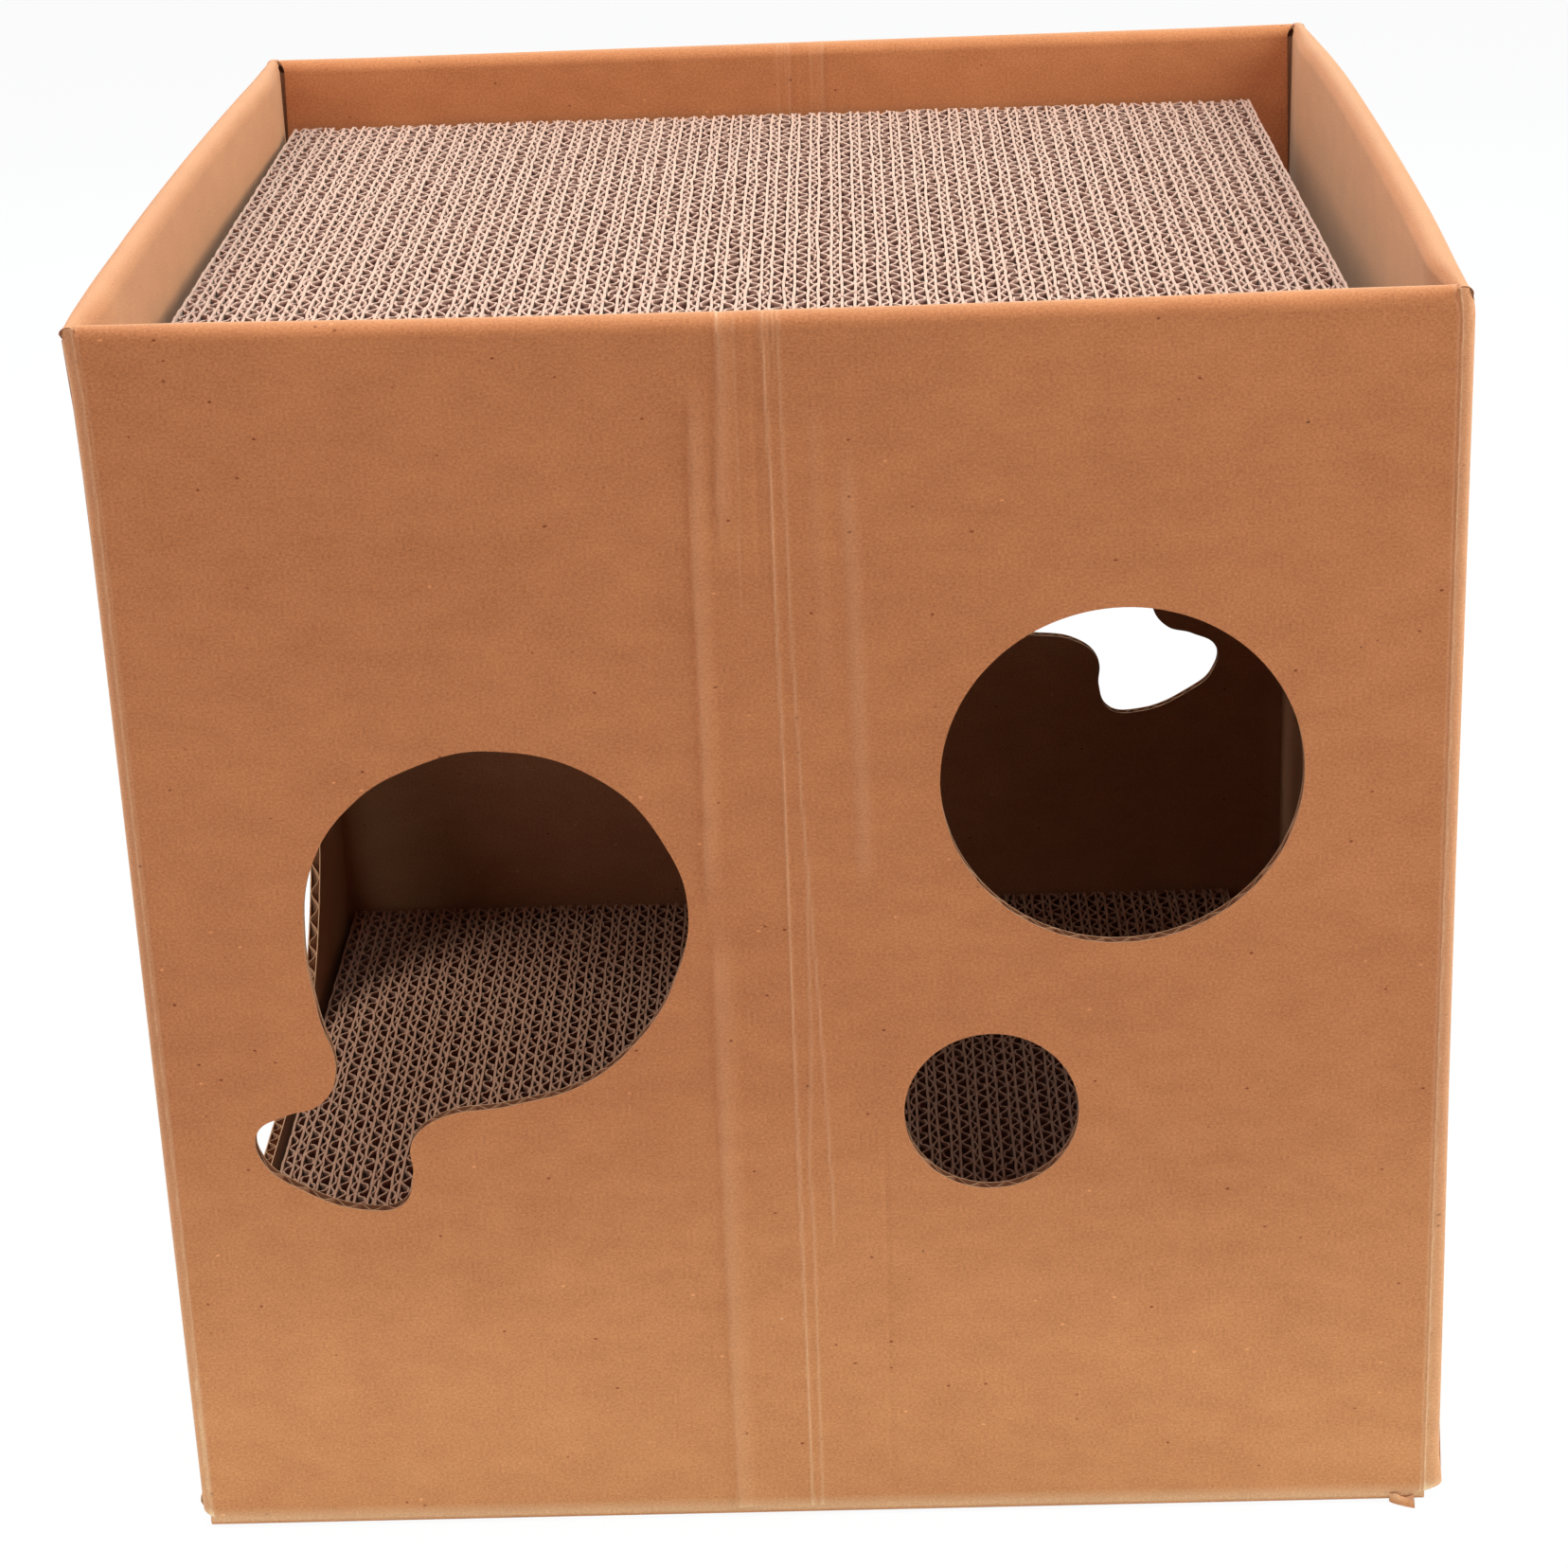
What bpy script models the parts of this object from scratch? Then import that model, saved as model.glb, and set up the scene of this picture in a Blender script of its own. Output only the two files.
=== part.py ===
"""Cardboard cat scratcher house.

A square house of single-wall corrugated board. Four walls are folded into a sleeve and closed by a
glued corner tab. Round holes and a fish-shaped hole are die-cut in the front and the back, and a wide
round-cornered entrance in the left wall. At the top each wall rolls over into an inner rim flap, whose
end turns in as a shelf flap. A scratch pad lies on the shelf, inside the raised rim, and a second one
lies on the floor. Four flaps close the bottom.

Frame: metres, +Z up, +X to the right and +Y to the back as seen from the front. The origin is on the
floor under the middle of the house.
"""

import math

import bmesh
import bpy

# Outside of the house
OUTER_WIDTH = 0.400
OUTER_DEPTH = 0.398
OUTER_HEIGHT = 0.403
BOARD = 0.004
CORNER_RADIUS = 0.0035

# Clearances
TOUCH_GAP = 0.0003
MITRE_SLIT = 0.0012
FLAP_SIDE_GAP = 0.0015
SEAM_GAP = 0.0015

# Rolled rim and the shelf that it carries
RIM_FOLD_GAP = 0.0014
PAD_BELOW_RIM = 0.0257
SHELF_REACH = 0.130
SHELF_SIDE_GAP = 0.0010

# Scratch pads, made of strips of double-wall board standing on edge
STRIP_PITCH = 0.0075
STRIP_GROOVE = 0.0008
PAD_HEIGHT = 0.035
PAD_END_GAP = 0.0016
TOP_PAD_LEFT_GAP = 0.0010
TOP_PAD_RIGHT_GAP_MIN = 0.0080
FLOOR_PAD_LEFT_GAP = 0.0031
FLOOR_PAD_BACK_GAP = 0.0020

# Glued tab that closes the sleeve
TAB_WIDTH = 0.032
TAB_END_GAP = 0.003

# Holes in the front, seen from outside; the back has the same holes, seen from outside
BIG_HOLE_CENTRE = (0.1002, 0.2558)
BIG_HOLE_DIAMETER = 0.1084
SMALL_HOLE_CENTRE = (0.0601, 0.1449)
SMALL_HOLE_DIAMETER = 0.054
FISH_OUTLINE = (
    (-0.0874, 0.2694), (-0.0540, 0.2584), (-0.0370, 0.2370), (-0.0320, 0.2177), (-0.0359, 0.1943),
    (-0.0477, 0.1737), (-0.0663, 0.1589), (-0.0890, 0.1522), (-0.1124, 0.1477), (-0.1204, 0.1398),
    (-0.1208, 0.1284), (-0.1247, 0.1183), (-0.1362, 0.1165), (-0.1581, 0.1253), (-0.1670, 0.1332),
    (-0.1686, 0.1442), (-0.1589, 0.1503), (-0.1483, 0.1538), (-0.1424, 0.1631), (-0.1461, 0.1866),
    (-0.1481, 0.2099), (-0.1442, 0.2332), (-0.1310, 0.2527), (-0.1108, 0.2650),
)

# Entrance in the left wall, whose sill is level with the floor pad
ENTRANCE_WIDTH = 0.304
ENTRANCE_HEIGHT = 0.222
ENTRANCE_CORNER = 0.107

# Facets
ARC_STEPS = 6
BIG_HOLE_STEPS = 48
SMALL_HOLE_STEPS = 32
FISH_STEPS_PER_POINT = 4
CUTTER_OVERSHOOT = 0.006

# Levels and planes worked out from the sizes above
HALF_WIDTH = OUTER_WIDTH / 2
HALF_DEPTH = OUTER_DEPTH / 2
RIM_THICKNESS = 2 * BOARD + RIM_FOLD_GAP
RIM_RADIUS = RIM_THICKNESS / 2
RIM_CENTRE_Z = OUTER_HEIGHT - RIM_RADIUS
WALL_TOP = RIM_CENTRE_Z - TOUCH_GAP
OUTER_FLAP_TOP = BOARD
INNER_FLAP_BOTTOM = OUTER_FLAP_TOP + TOUCH_GAP
INNER_FLAP_TOP = INNER_FLAP_BOTTOM + BOARD
FLOOR_PAD_BOTTOM = INNER_FLAP_TOP + TOUCH_GAP
ENTRANCE_BOTTOM = FLOOR_PAD_BOTTOM + PAD_HEIGHT
PAD_TOP = OUTER_HEIGHT - PAD_BELOW_RIM
PAD_BOTTOM = PAD_TOP - PAD_HEIGHT
UPPER_SHELF_TOP = PAD_BOTTOM - TOUCH_GAP
LOWER_SHELF_TOP = UPPER_SHELF_TOP - BOARD - TOUCH_GAP
PAD_DEPTH = OUTER_DEPTH - 2 * RIM_THICKNESS - 2 * PAD_END_GAP
PAD_ROOM = OUTER_WIDTH - 2 * RIM_THICKNESS - TOP_PAD_LEFT_GAP - TOP_PAD_RIGHT_GAP_MIN
STRIP_COUNT = int(PAD_ROOM / STRIP_PITCH)
PAD_WIDTH = STRIP_PITCH * STRIP_COUNT

# Each side of the house: its angle about +Z from the front, how far its outer face is from the middle,
# and half its length
SIDES = {
    "front": (0.0, HALF_DEPTH, HALF_WIDTH),
    "right": (math.pi / 2, HALF_WIDTH, HALF_DEPTH),
    "back": (math.pi, HALF_DEPTH, HALF_WIDTH),
    "left": (-math.pi / 2, HALF_WIDTH, HALF_DEPTH),
}


def remove_all_objects():
    """Empty the scene before modelling."""
    for item in list(bpy.data.objects):
        bpy.data.objects.remove(item, do_unlink=True)


def new_collection(name):
    """A collection under the scene."""
    collection = bpy.data.collections.new(name)
    bpy.context.scene.collection.children.link(collection)
    return collection


def paper_material(name, colour, roughness):
    """Bare brown paper: a Principled shader with no metal in it."""
    material = bpy.data.materials.new(name)
    material.use_nodes = True
    shader = material.node_tree.nodes["Principled BSDF"]
    shader.inputs["Base Color"].default_value = (*colour, 1.0)
    shader.inputs["Roughness"].default_value = roughness
    shader.inputs["Metallic"].default_value = 0.0
    return material


def add_object(name, mesh, collection, material=None):
    """Put a mesh in the scene as a named object."""
    part = bpy.data.objects.new(name, mesh)
    if material:
        mesh.materials.append(material)
    collection.objects.link(part)
    return part


def arc(centre, radius, start, end, steps):
    """Points along an arc in a plane, both ends included; angles in radians."""
    turns = [start + (end - start) * step / steps for step in range(steps + 1)]
    return [(centre[0] + radius * math.cos(turn), centre[1] + radius * math.sin(turn)) for turn in turns]


def extruded_outline(name, spline_points, half_thickness, smooth_outline=False):
    """A closed solid: a filled 2D outline in local XY, extruded both ways along local Z."""
    curve = bpy.data.curves.new(name, "CURVE")
    curve.dimensions = "2D"
    curve.fill_mode = "BOTH"
    curve.extrude = half_thickness
    if smooth_outline:
        curve.resolution_u = FISH_STEPS_PER_POINT
        spline = curve.splines.new("BEZIER")
        spline.bezier_points.add(len(spline_points) - 1)
        for point, place in zip(spline.bezier_points, spline_points):
            point.co = (*place, 0.0)
            point.handle_left_type = "AUTO"
            point.handle_right_type = "AUTO"
    else:
        spline = curve.splines.new("POLY")
        spline.points.add(len(spline_points) - 1)
        for point, place in zip(spline.points, spline_points):
            point.co = (*place, 0.0, 1.0)
    spline.use_cyclic_u = True
    carrier = bpy.data.objects.new(name + "_outline", curve)
    bpy.context.scene.collection.objects.link(carrier)
    evaluated = carrier.evaluated_get(bpy.context.evaluated_depsgraph_get())
    mesh = bpy.data.meshes.new_from_object(evaluated)
    bpy.data.objects.remove(carrier, do_unlink=True)
    mesh.name = name
    shell = bmesh.new()
    shell.from_mesh(mesh)
    bmesh.ops.remove_doubles(shell, verts=shell.verts, dist=0.00001)
    bmesh.ops.recalc_face_normals(shell, faces=shell.faces)
    shell.to_mesh(mesh)
    shell.free()
    return mesh


def block_mesh(name, low, high):
    """A box from its lowest and highest corners."""
    size = [top - bottom for bottom, top in zip(low, high)]
    middle = [(top + bottom) / 2 for bottom, top in zip(low, high)]
    mesh = bpy.data.meshes.new(name)
    shell = bmesh.new()
    bmesh.ops.create_cube(shell, size=1.0)
    bmesh.ops.scale(shell, vec=size, verts=shell.verts)
    bmesh.ops.translate(shell, vec=middle, verts=shell.verts)
    shell.to_mesh(mesh)
    shell.free()
    return mesh


def stand_at_side(part, side):
    """Turn a part that was modelled at the front to another side of the house."""
    angle, face_distance, _ = SIDES[side]
    part.rotation_euler = (0.0, 0.0, angle)
    part.location = (face_distance * math.sin(angle), -face_distance * math.cos(angle), 0.0)


def section_along_side(name, section, half_length, mitre=0.0):
    """A section, given as (inward distance, height), run along a side. mitre is 1.0 for ends cut at
    45 degrees, so that they shorten by their distance from the outer face."""
    mesh = extruded_outline(name, section, half_length)
    for vertex in mesh.vertices:
        inward, height, along = vertex.co
        reach = abs(along) - inward * mitre
        vertex.co = (math.copysign(reach, along), inward, height)
    return mesh


def make_wall(name, side, bottom, holes, collection, cutters, material):
    """One wall of the sleeve. The front and the back carry the rounded corner folds, and the side
    walls stand between them."""
    _, _, half_span = SIDES[side]
    if side in ("front", "back"):
        right = arc((half_span - CORNER_RADIUS, CORNER_RADIUS), CORNER_RADIUS, -math.pi / 2, 0.0, ARC_STEPS)
        left = [(-along, inward) for along, inward in reversed(right)]
        plan = left + right + [(half_span, BOARD), (-half_span, BOARD)]
    else:
        half_span -= BOARD + TOUCH_GAP
        plan = [(-half_span, 0.0), (half_span, 0.0), (half_span, BOARD), (-half_span, BOARD)]
    mesh = extruded_outline(name, plan, (WALL_TOP - bottom) / 2)
    for vertex in mesh.vertices:
        vertex.co.z += (WALL_TOP + bottom) / 2
    wall = add_object(name, mesh, collection, material)
    stand_at_side(wall, side)
    for label, outline, smooth_outline in holes:
        cutter_name = name + "_" + label
        cutter_mesh = extruded_outline(cutter_name, outline, BOARD + CUTTER_OVERSHOOT, smooth_outline)
        cutter = add_object(cutter_name, cutter_mesh, cutters)
        cutter.parent = wall
        cutter.rotation_euler = (math.pi / 2, 0.0, 0.0)
        cutter.hide_render = True
        cutter.display_type = "WIRE"
        cut = wall.modifiers.new("Cut " + label, "BOOLEAN")
        cut.operation = "DIFFERENCE"
        cut.solver = "EXACT"
        cut.object = cutter
    return wall


def face_holes():
    """The die-cut holes of the front and the back, as outlines of (right, up) seen from outside."""
    big = arc(BIG_HOLE_CENTRE, BIG_HOLE_DIAMETER / 2, 0.0, 2 * math.pi, BIG_HOLE_STEPS)[:-1]
    small = arc(SMALL_HOLE_CENTRE, SMALL_HOLE_DIAMETER / 2, 0.0, 2 * math.pi, SMALL_HOLE_STEPS)[:-1]
    return [("big_hole", big, False), ("small_hole", small, False), ("fish_hole", FISH_OUTLINE, True)]


def entrance_outline():
    """The entrance: a rectangle with four large round corners, at most half its height or its width."""
    corner = min(ENTRANCE_CORNER, ENTRANCE_HEIGHT / 2, ENTRANCE_WIDTH / 2)
    reach = ENTRANCE_WIDTH / 2 - corner
    low = ENTRANCE_BOTTOM + corner
    high = ENTRANCE_BOTTOM + ENTRANCE_HEIGHT - corner
    outline = []
    for quarter, centre in enumerate(((reach, high), (-reach, high), (-reach, low), (reach, low))):
        start = quarter * math.pi / 2
        outline += arc(centre, corner, start, start + math.pi / 2, 2 * ARC_STEPS)
    return outline


def make_rim_flap(side, bottom, collection, material):
    """The wall's top, rolled over inward, and the inner layer that goes down behind the pad."""
    _, _, half_span = SIDES[side]
    centre = (RIM_RADIUS, RIM_CENTRE_Z)
    outer_roll = arc(centre, RIM_RADIUS, math.pi, 0.0, 2 * ARC_STEPS)
    inner_roll = arc(centre, RIM_RADIUS - BOARD, 0.0, math.pi, 2 * ARC_STEPS)
    section = outer_roll + [(RIM_THICKNESS, bottom), (RIM_THICKNESS - BOARD, bottom)] + inner_roll
    name = side + "_rim_flap"
    mesh = section_along_side(name, section, half_span - MITRE_SLIT / 2, mitre=1.0)
    flap = add_object(name, mesh, collection, material)
    stand_at_side(flap, side)
    return flap


def hinged_plate(name, fold_inward, far_inward, top, half_length):
    """A flap with its round fold edge at fold_inward and a square free edge at far_inward. The middle
    of the round edge is the line that the flap turns on."""
    radius = BOARD / 2
    fold = arc((fold_inward + radius, top - radius), radius, math.pi / 2, 3 * math.pi / 2, ARC_STEPS)
    free = [(far_inward, top - BOARD), (far_inward, top)]
    return section_along_side(name, fold + free, half_length)


def make_flap(name, side, fold_inward, far_inward, top, half_length, collection, material):
    """A flap whose origin is on its fold line."""
    mesh = hinged_plate(name, fold_inward, far_inward, top, half_length)
    angle, face_distance, _ = SIDES[side]
    pivot_inward = fold_inward + BOARD / 2
    pivot_height = top - BOARD / 2
    for vertex in mesh.vertices:
        vertex.co.y -= pivot_inward
        vertex.co.z -= pivot_height
    flap = add_object(name, mesh, collection, material)
    reach = face_distance - pivot_inward
    flap.rotation_euler = (0.0, 0.0, angle)
    flap.location = (reach * math.sin(angle), -reach * math.cos(angle), pivot_height)
    return flap


def pad_section():
    """The pad's section from left to right. It is one glued block, and a fine groove along its top and
    its bottom marks where one strip of board meets the next."""
    top = [(0.0, PAD_HEIGHT)]
    for strip in range(1, STRIP_COUNT):
        seam = strip * STRIP_PITCH
        top += [(seam - STRIP_GROOVE / 2, PAD_HEIGHT), (seam, PAD_HEIGHT - STRIP_GROOVE)]
        top += [(seam + STRIP_GROOVE / 2, PAD_HEIGHT)]
    top += [(PAD_WIDTH, PAD_HEIGHT)]
    bottom = [(across, PAD_HEIGHT - height) for across, height in reversed(top)]
    return top + bottom


def make_pad(name, left, middle_y, bottom, collection, material):
    """A scratch pad: strips of board on edge that run from front to back, glued face to face."""
    mesh = extruded_outline(name, pad_section(), PAD_DEPTH / 2)
    pad = add_object(name, mesh, collection, material)
    pad.rotation_euler = (math.pi / 2, 0.0, 0.0)
    pad.location = (left, middle_y, bottom)
    return pad


def build():
    """Make the house."""
    remove_all_objects()
    house = new_collection("cat_scratcher_house")
    cutters = new_collection("cutters")
    kraft = paper_material("kraft_board", (0.46, 0.19, 0.08), 0.85)
    pad_board = paper_material("scratch_pad_board", (0.50, 0.30, 0.21), 0.9)

    # Sleeve
    holes = face_holes()
    entrance = [("entrance", entrance_outline(), False)]
    make_wall("front_wall", "front", INNER_FLAP_BOTTOM, holes, house, cutters, kraft)
    make_wall("back_wall", "back", INNER_FLAP_BOTTOM, holes, house, cutters, kraft)
    make_wall("left_wall", "left", FLOOR_PAD_BOTTOM, entrance, house, cutters, kraft)
    make_wall("right_wall", "right", FLOOR_PAD_BOTTOM, [], house, cutters, kraft)

    # Tab folded from the right wall's front edge and glued behind the front wall
    tab_right = HALF_WIDTH - BOARD - TOUCH_GAP
    tab_front = -HALF_DEPTH + BOARD + TOUCH_GAP
    tab_low = (tab_right - TAB_WIDTH, tab_front, FLOOR_PAD_BOTTOM + TAB_END_GAP)
    tab_high = (tab_right, tab_front + BOARD, LOWER_SHELF_TOP - BOARD - TAB_END_GAP)
    add_object("corner_glue_tab", block_mesh("corner_glue_tab", tab_low, tab_high), house, kraft)

    # Rolled rim, and the shelf flaps under the top pad: front and back lie on left and right
    for side in SIDES:
        top = UPPER_SHELF_TOP if side in ("front", "back") else LOWER_SHELF_TOP
        make_rim_flap(side, top + TOUCH_GAP, house, kraft)
        half_length = SIDES[side][2] - RIM_THICKNESS - SHELF_SIDE_GAP
        fold = RIM_THICKNESS - BOARD
        far = RIM_THICKNESS + SHELF_REACH
        make_flap(side + "_shelf_flap", side, fold, far, top, half_length, house, kraft)

    # Bottom flaps: front and back outside, left and right inside
    for side in ("front", "back"):
        half_length = HALF_WIDTH - FLAP_SIDE_GAP
        far = HALF_DEPTH - SEAM_GAP / 2
        make_flap(side + "_bottom_flap", side, 0.0, far, OUTER_FLAP_TOP, half_length, house, kraft)
    for side in ("left", "right"):
        half_length = HALF_DEPTH - BOARD - FLAP_SIDE_GAP
        far = HALF_WIDTH - SEAM_GAP / 2
        make_flap(side + "_bottom_flap", side, 0.0, far, INNER_FLAP_TOP, half_length, house, kraft)

    # Scratch pads
    top_left = -HALF_WIDTH + RIM_THICKNESS + TOP_PAD_LEFT_GAP
    make_pad("top_scratch_pad", top_left, 0.0, PAD_BOTTOM, house, pad_board)
    floor_left = -HALF_WIDTH + BOARD + FLOOR_PAD_LEFT_GAP
    floor_middle = HALF_DEPTH - BOARD - FLOOR_PAD_BACK_GAP - PAD_DEPTH / 2
    make_pad("floor_scratch_pad", floor_left, floor_middle, FLOOR_PAD_BOTTOM, house, pad_board)


build()
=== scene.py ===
import math

import bpy
import numpy as np
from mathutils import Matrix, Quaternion, Vector


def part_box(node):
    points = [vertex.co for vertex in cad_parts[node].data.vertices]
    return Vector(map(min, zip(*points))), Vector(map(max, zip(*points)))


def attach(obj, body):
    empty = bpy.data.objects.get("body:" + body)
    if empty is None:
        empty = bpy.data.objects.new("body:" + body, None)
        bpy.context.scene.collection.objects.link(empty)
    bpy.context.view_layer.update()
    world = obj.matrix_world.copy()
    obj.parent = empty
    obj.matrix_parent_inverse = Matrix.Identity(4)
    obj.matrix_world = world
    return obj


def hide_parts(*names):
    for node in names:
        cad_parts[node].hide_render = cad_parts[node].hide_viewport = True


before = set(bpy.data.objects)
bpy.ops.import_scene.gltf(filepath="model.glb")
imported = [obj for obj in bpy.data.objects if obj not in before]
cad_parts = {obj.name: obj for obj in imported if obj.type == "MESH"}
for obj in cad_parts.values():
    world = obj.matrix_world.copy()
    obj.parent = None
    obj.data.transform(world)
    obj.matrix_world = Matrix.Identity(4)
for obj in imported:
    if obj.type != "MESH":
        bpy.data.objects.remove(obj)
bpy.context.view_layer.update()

bpy.ops.object.select_all(action="DESELECT")

# Camera: a normal lens in front of the house, a little to the right and above it, held slightly askew.
CAMERA_PLACE = Vector((0.0241, -1.1958, 0.6662))
CAMERA_AIM = Vector((-0.0054, 0.0, 0.1754))
CAMERA_LENS = 82.907
CAMERA_SENSOR = 36.0
CAMERA_ROLL = math.radians(-2.07)

camera_data = bpy.data.cameras.new("camera")
camera_data.lens = CAMERA_LENS
camera_data.sensor_width = CAMERA_SENSOR
camera = bpy.data.objects.new("camera", camera_data)
bpy.context.scene.collection.objects.link(camera)
camera.location = CAMERA_PLACE
camera.rotation_mode = "QUATERNION"
camera.rotation_quaternion = (
    (CAMERA_AIM - CAMERA_PLACE).to_track_quat("-Z", "Y") @ Quaternion((0.0, 0.0, 1.0), CAMERA_ROLL)
)
bpy.context.scene.camera = camera
bpy.context.scene.view_settings.view_transform = "Standard"

# Studio: a white floor that runs into a white surround, and soft lamps at both sides, above and in front.
# Seen straight on the surround is plain white, and the floor keeps a weak shadow of the house.
FLOOR_SIZE = 40.0
FLOOR_BELOW = 0.0004
FLOOR_COLOUR = (0.86, 0.86, 0.86, 1.0)
FLOOR_WHITENESS = 0.945
FLOOR_ROUGHNESS = 0.9
SURROUND_LIGHT = 0.088
WHITE = (1.0, 1.0, 1.0, 1.0)


def new_node(tree, kind, **values):
    """A shader node with some of its inputs or settings filled in."""
    made = tree.nodes.new(kind)
    for key, value in values.items():
        if key in made.inputs:
            made.inputs[key].default_value = value
        else:
            setattr(made, key, value)
    return made


def seen_directly(tree):
    """1 where the camera sees a surface, directly or in a gloss or through glass, and 0 elsewhere."""
    path = new_node(tree, "ShaderNodeLightPath")
    seen = path.outputs["Is Camera Ray"]
    for ray in ("Is Glossy Ray", "Is Transmission Ray"):
        either = new_node(tree, "ShaderNodeMath", operation="MAXIMUM")
        tree.links.new(seen, either.inputs[0])
        tree.links.new(path.outputs[ray], either.inputs[1])
        seen = either.outputs[0]
    return seen


world = bpy.data.worlds.new("surround")
bpy.context.scene.world = world
world.use_nodes = True
air = world.node_tree
strength = new_node(air, "ShaderNodeMapRange")
strength.inputs["To Min"].default_value = SURROUND_LIGHT
strength.inputs["To Max"].default_value = 1.0
air.links.new(seen_directly(air), strength.inputs["Value"])
air.nodes["Background"].inputs["Color"].default_value = WHITE
air.links.new(strength.outputs["Result"], air.nodes["Background"].inputs["Strength"])

bpy.ops.mesh.primitive_plane_add(size=FLOOR_SIZE, location=(0.0, 0.0, -FLOOR_BELOW))
floor = bpy.context.object
floor.name = "studio_floor"
floor_material = bpy.data.materials.new("white_floor")
floor_material.use_nodes = True
ground = floor_material.node_tree
ground.nodes["Principled BSDF"].inputs["Base Color"].default_value = FLOOR_COLOUR
ground.nodes["Principled BSDF"].inputs["Roughness"].default_value = FLOOR_ROUGHNESS
glow = new_node(ground, "ShaderNodeEmission", Strength=1.0)
share = new_node(ground, "ShaderNodeMath", operation="MULTIPLY")
share.inputs[1].default_value = FLOOR_WHITENESS
blend = new_node(ground, "ShaderNodeMixShader")
ground.links.new(seen_directly(ground), share.inputs[0])
ground.links.new(share.outputs[0], blend.inputs[0])
ground.links.new(ground.nodes["Principled BSDF"].outputs[0], blend.inputs[1])
ground.links.new(glow.outputs[0], blend.inputs[2])
ground.links.new(blend.outputs[0], ground.nodes["Material Output"].inputs["Surface"])
floor.data.materials.append(floor_material)

# Each lamp: name, place, aim, width, height, power in watts and colour. The foot lamp is a narrow beam that
# adds the light which the white floor throws on the foot of the front.
FOOT_LAMP_SPREAD = math.radians(30.0)
LAMPS = (
    ("left_lamp", (-1.25, 0.15, 1.75), (0.0, 0.0, 0.35), 1.0, 1.0, 29.5, (0.95, 1.0, 0.97)),
    ("right_lamp", (1.55, -0.20, 1.20), (0.0, 0.0, 0.35), 1.3, 1.3, 45.0, (0.81, 0.99, 1.0)),
    ("top_lamp", (0.0, -0.20, 2.00), (0.0, 0.0, 0.35), 1.2, 1.2, 22.0, (0.71, 0.93, 1.0)),
    ("back_lamp", (0.0, 1.50, 1.10), (0.0, 0.0, 0.35), 1.2, 1.2, 10.5, (0.70, 0.95, 1.0)),
    ("front_lamp", (0.0, -1.30, 1.80), (0.0, 0.0, 0.30), 1.2, 1.2, 10.0, (1.0, 0.78, 0.80)),
    ("front_left_lamp", (-1.05, -0.50, 0.75), (0.0, -0.2, 0.2), 0.5, 0.5, 1.9, (1.0, 1.0, 1.0)),
    ("front_right_lamp", (1.05, -0.50, 0.75), (0.0, -0.2, 0.2), 0.5, 0.5, 1.0, (1.0, 1.0, 1.0)),
    ("foot_lamp", (0.0, -0.85, 0.06), (0.0, -0.2, 0.0), 0.8, 0.05, 0.27, (0.54, 0.98, 1.0)),
)
for name, place, aim, width, height, power, colour in LAMPS:
    lamp_data = bpy.data.lights.new(name, "AREA")
    lamp_data.shape = "RECTANGLE"
    lamp_data.size = width
    lamp_data.size_y = height
    lamp_data.energy = power
    lamp_data.color = colour
    lamp = bpy.data.objects.new(name, lamp_data)
    bpy.context.scene.collection.objects.link(lamp)
    lamp.location = place
    lamp.rotation_euler = (Vector(aim) - Vector(place)).to_track_quat("-Z", "Y").to_euler()
    lamp.visible_camera = False
bpy.data.lights["foot_lamp"].spread = FOOT_LAMP_SPREAD

# Front wall: a panel of single-wall corrugated board, with a large and a small round hole and a fish
# die-cut in it. Its outer paper runs round the sleeve's corners; flutes run up and down between two
# papers. Folding it flat for shipping has left a centre crease and soft bends beside it.
WALL_LOW, WALL_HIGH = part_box("front_wall")
RIM_LOW, RIM_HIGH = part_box("front_rim_flap")
HALF_WIDTH = WALL_HIGH.x
HALF_DEPTH = -WALL_LOW.y
HOUSE_TOP = RIM_HIGH.z
BOARD = WALL_HIGH.y - WALL_LOW.y
RIM_THICKNESS = RIM_HIGH.y - RIM_LOW.y
RIM_RADIUS = RIM_THICKNESS / 2
ROLL_START = HOUSE_TOP - RIM_RADIUS
CORNER_RADIUS = 0.0035
ROLL_END = 0.0046

# The outer paper's corners, which are drawn up in front of the side rolls' ends and nicked at the foot
FACE_DEPTH = 0.0006
FACE_SOFTNESS = 0.0016
CORNER_OVERLAP = 0.0004
CORNER_SOFTNESS = 0.0006
CORNER_RISE = 0.0044
CORNER_RISE_HEIGHT = 0.014
FOOT_NICK = 0.0022
FOOT_NICK_HEIGHT = 0.012

# The board's papers and how finely each is modelled
PAPER = 0.0004
FLUTE_PAPER = 0.00025
FLUTE_PITCH = 0.0078
FLUTE_STEPS = 10
FACE_ROWS = 110
PLAIN_ROWS = 20
FACE_STEP = 0.008
CREASE_REACH = 0.034
CREASE_STEP = 0.0007
CORNER_CRACK_REACH = 0.0032
CORNER_CRACK_STEP = 0.0004
MERGE_DISTANCE = 0.00001
SMOOTH_ANGLE = math.radians(35.0)

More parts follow.
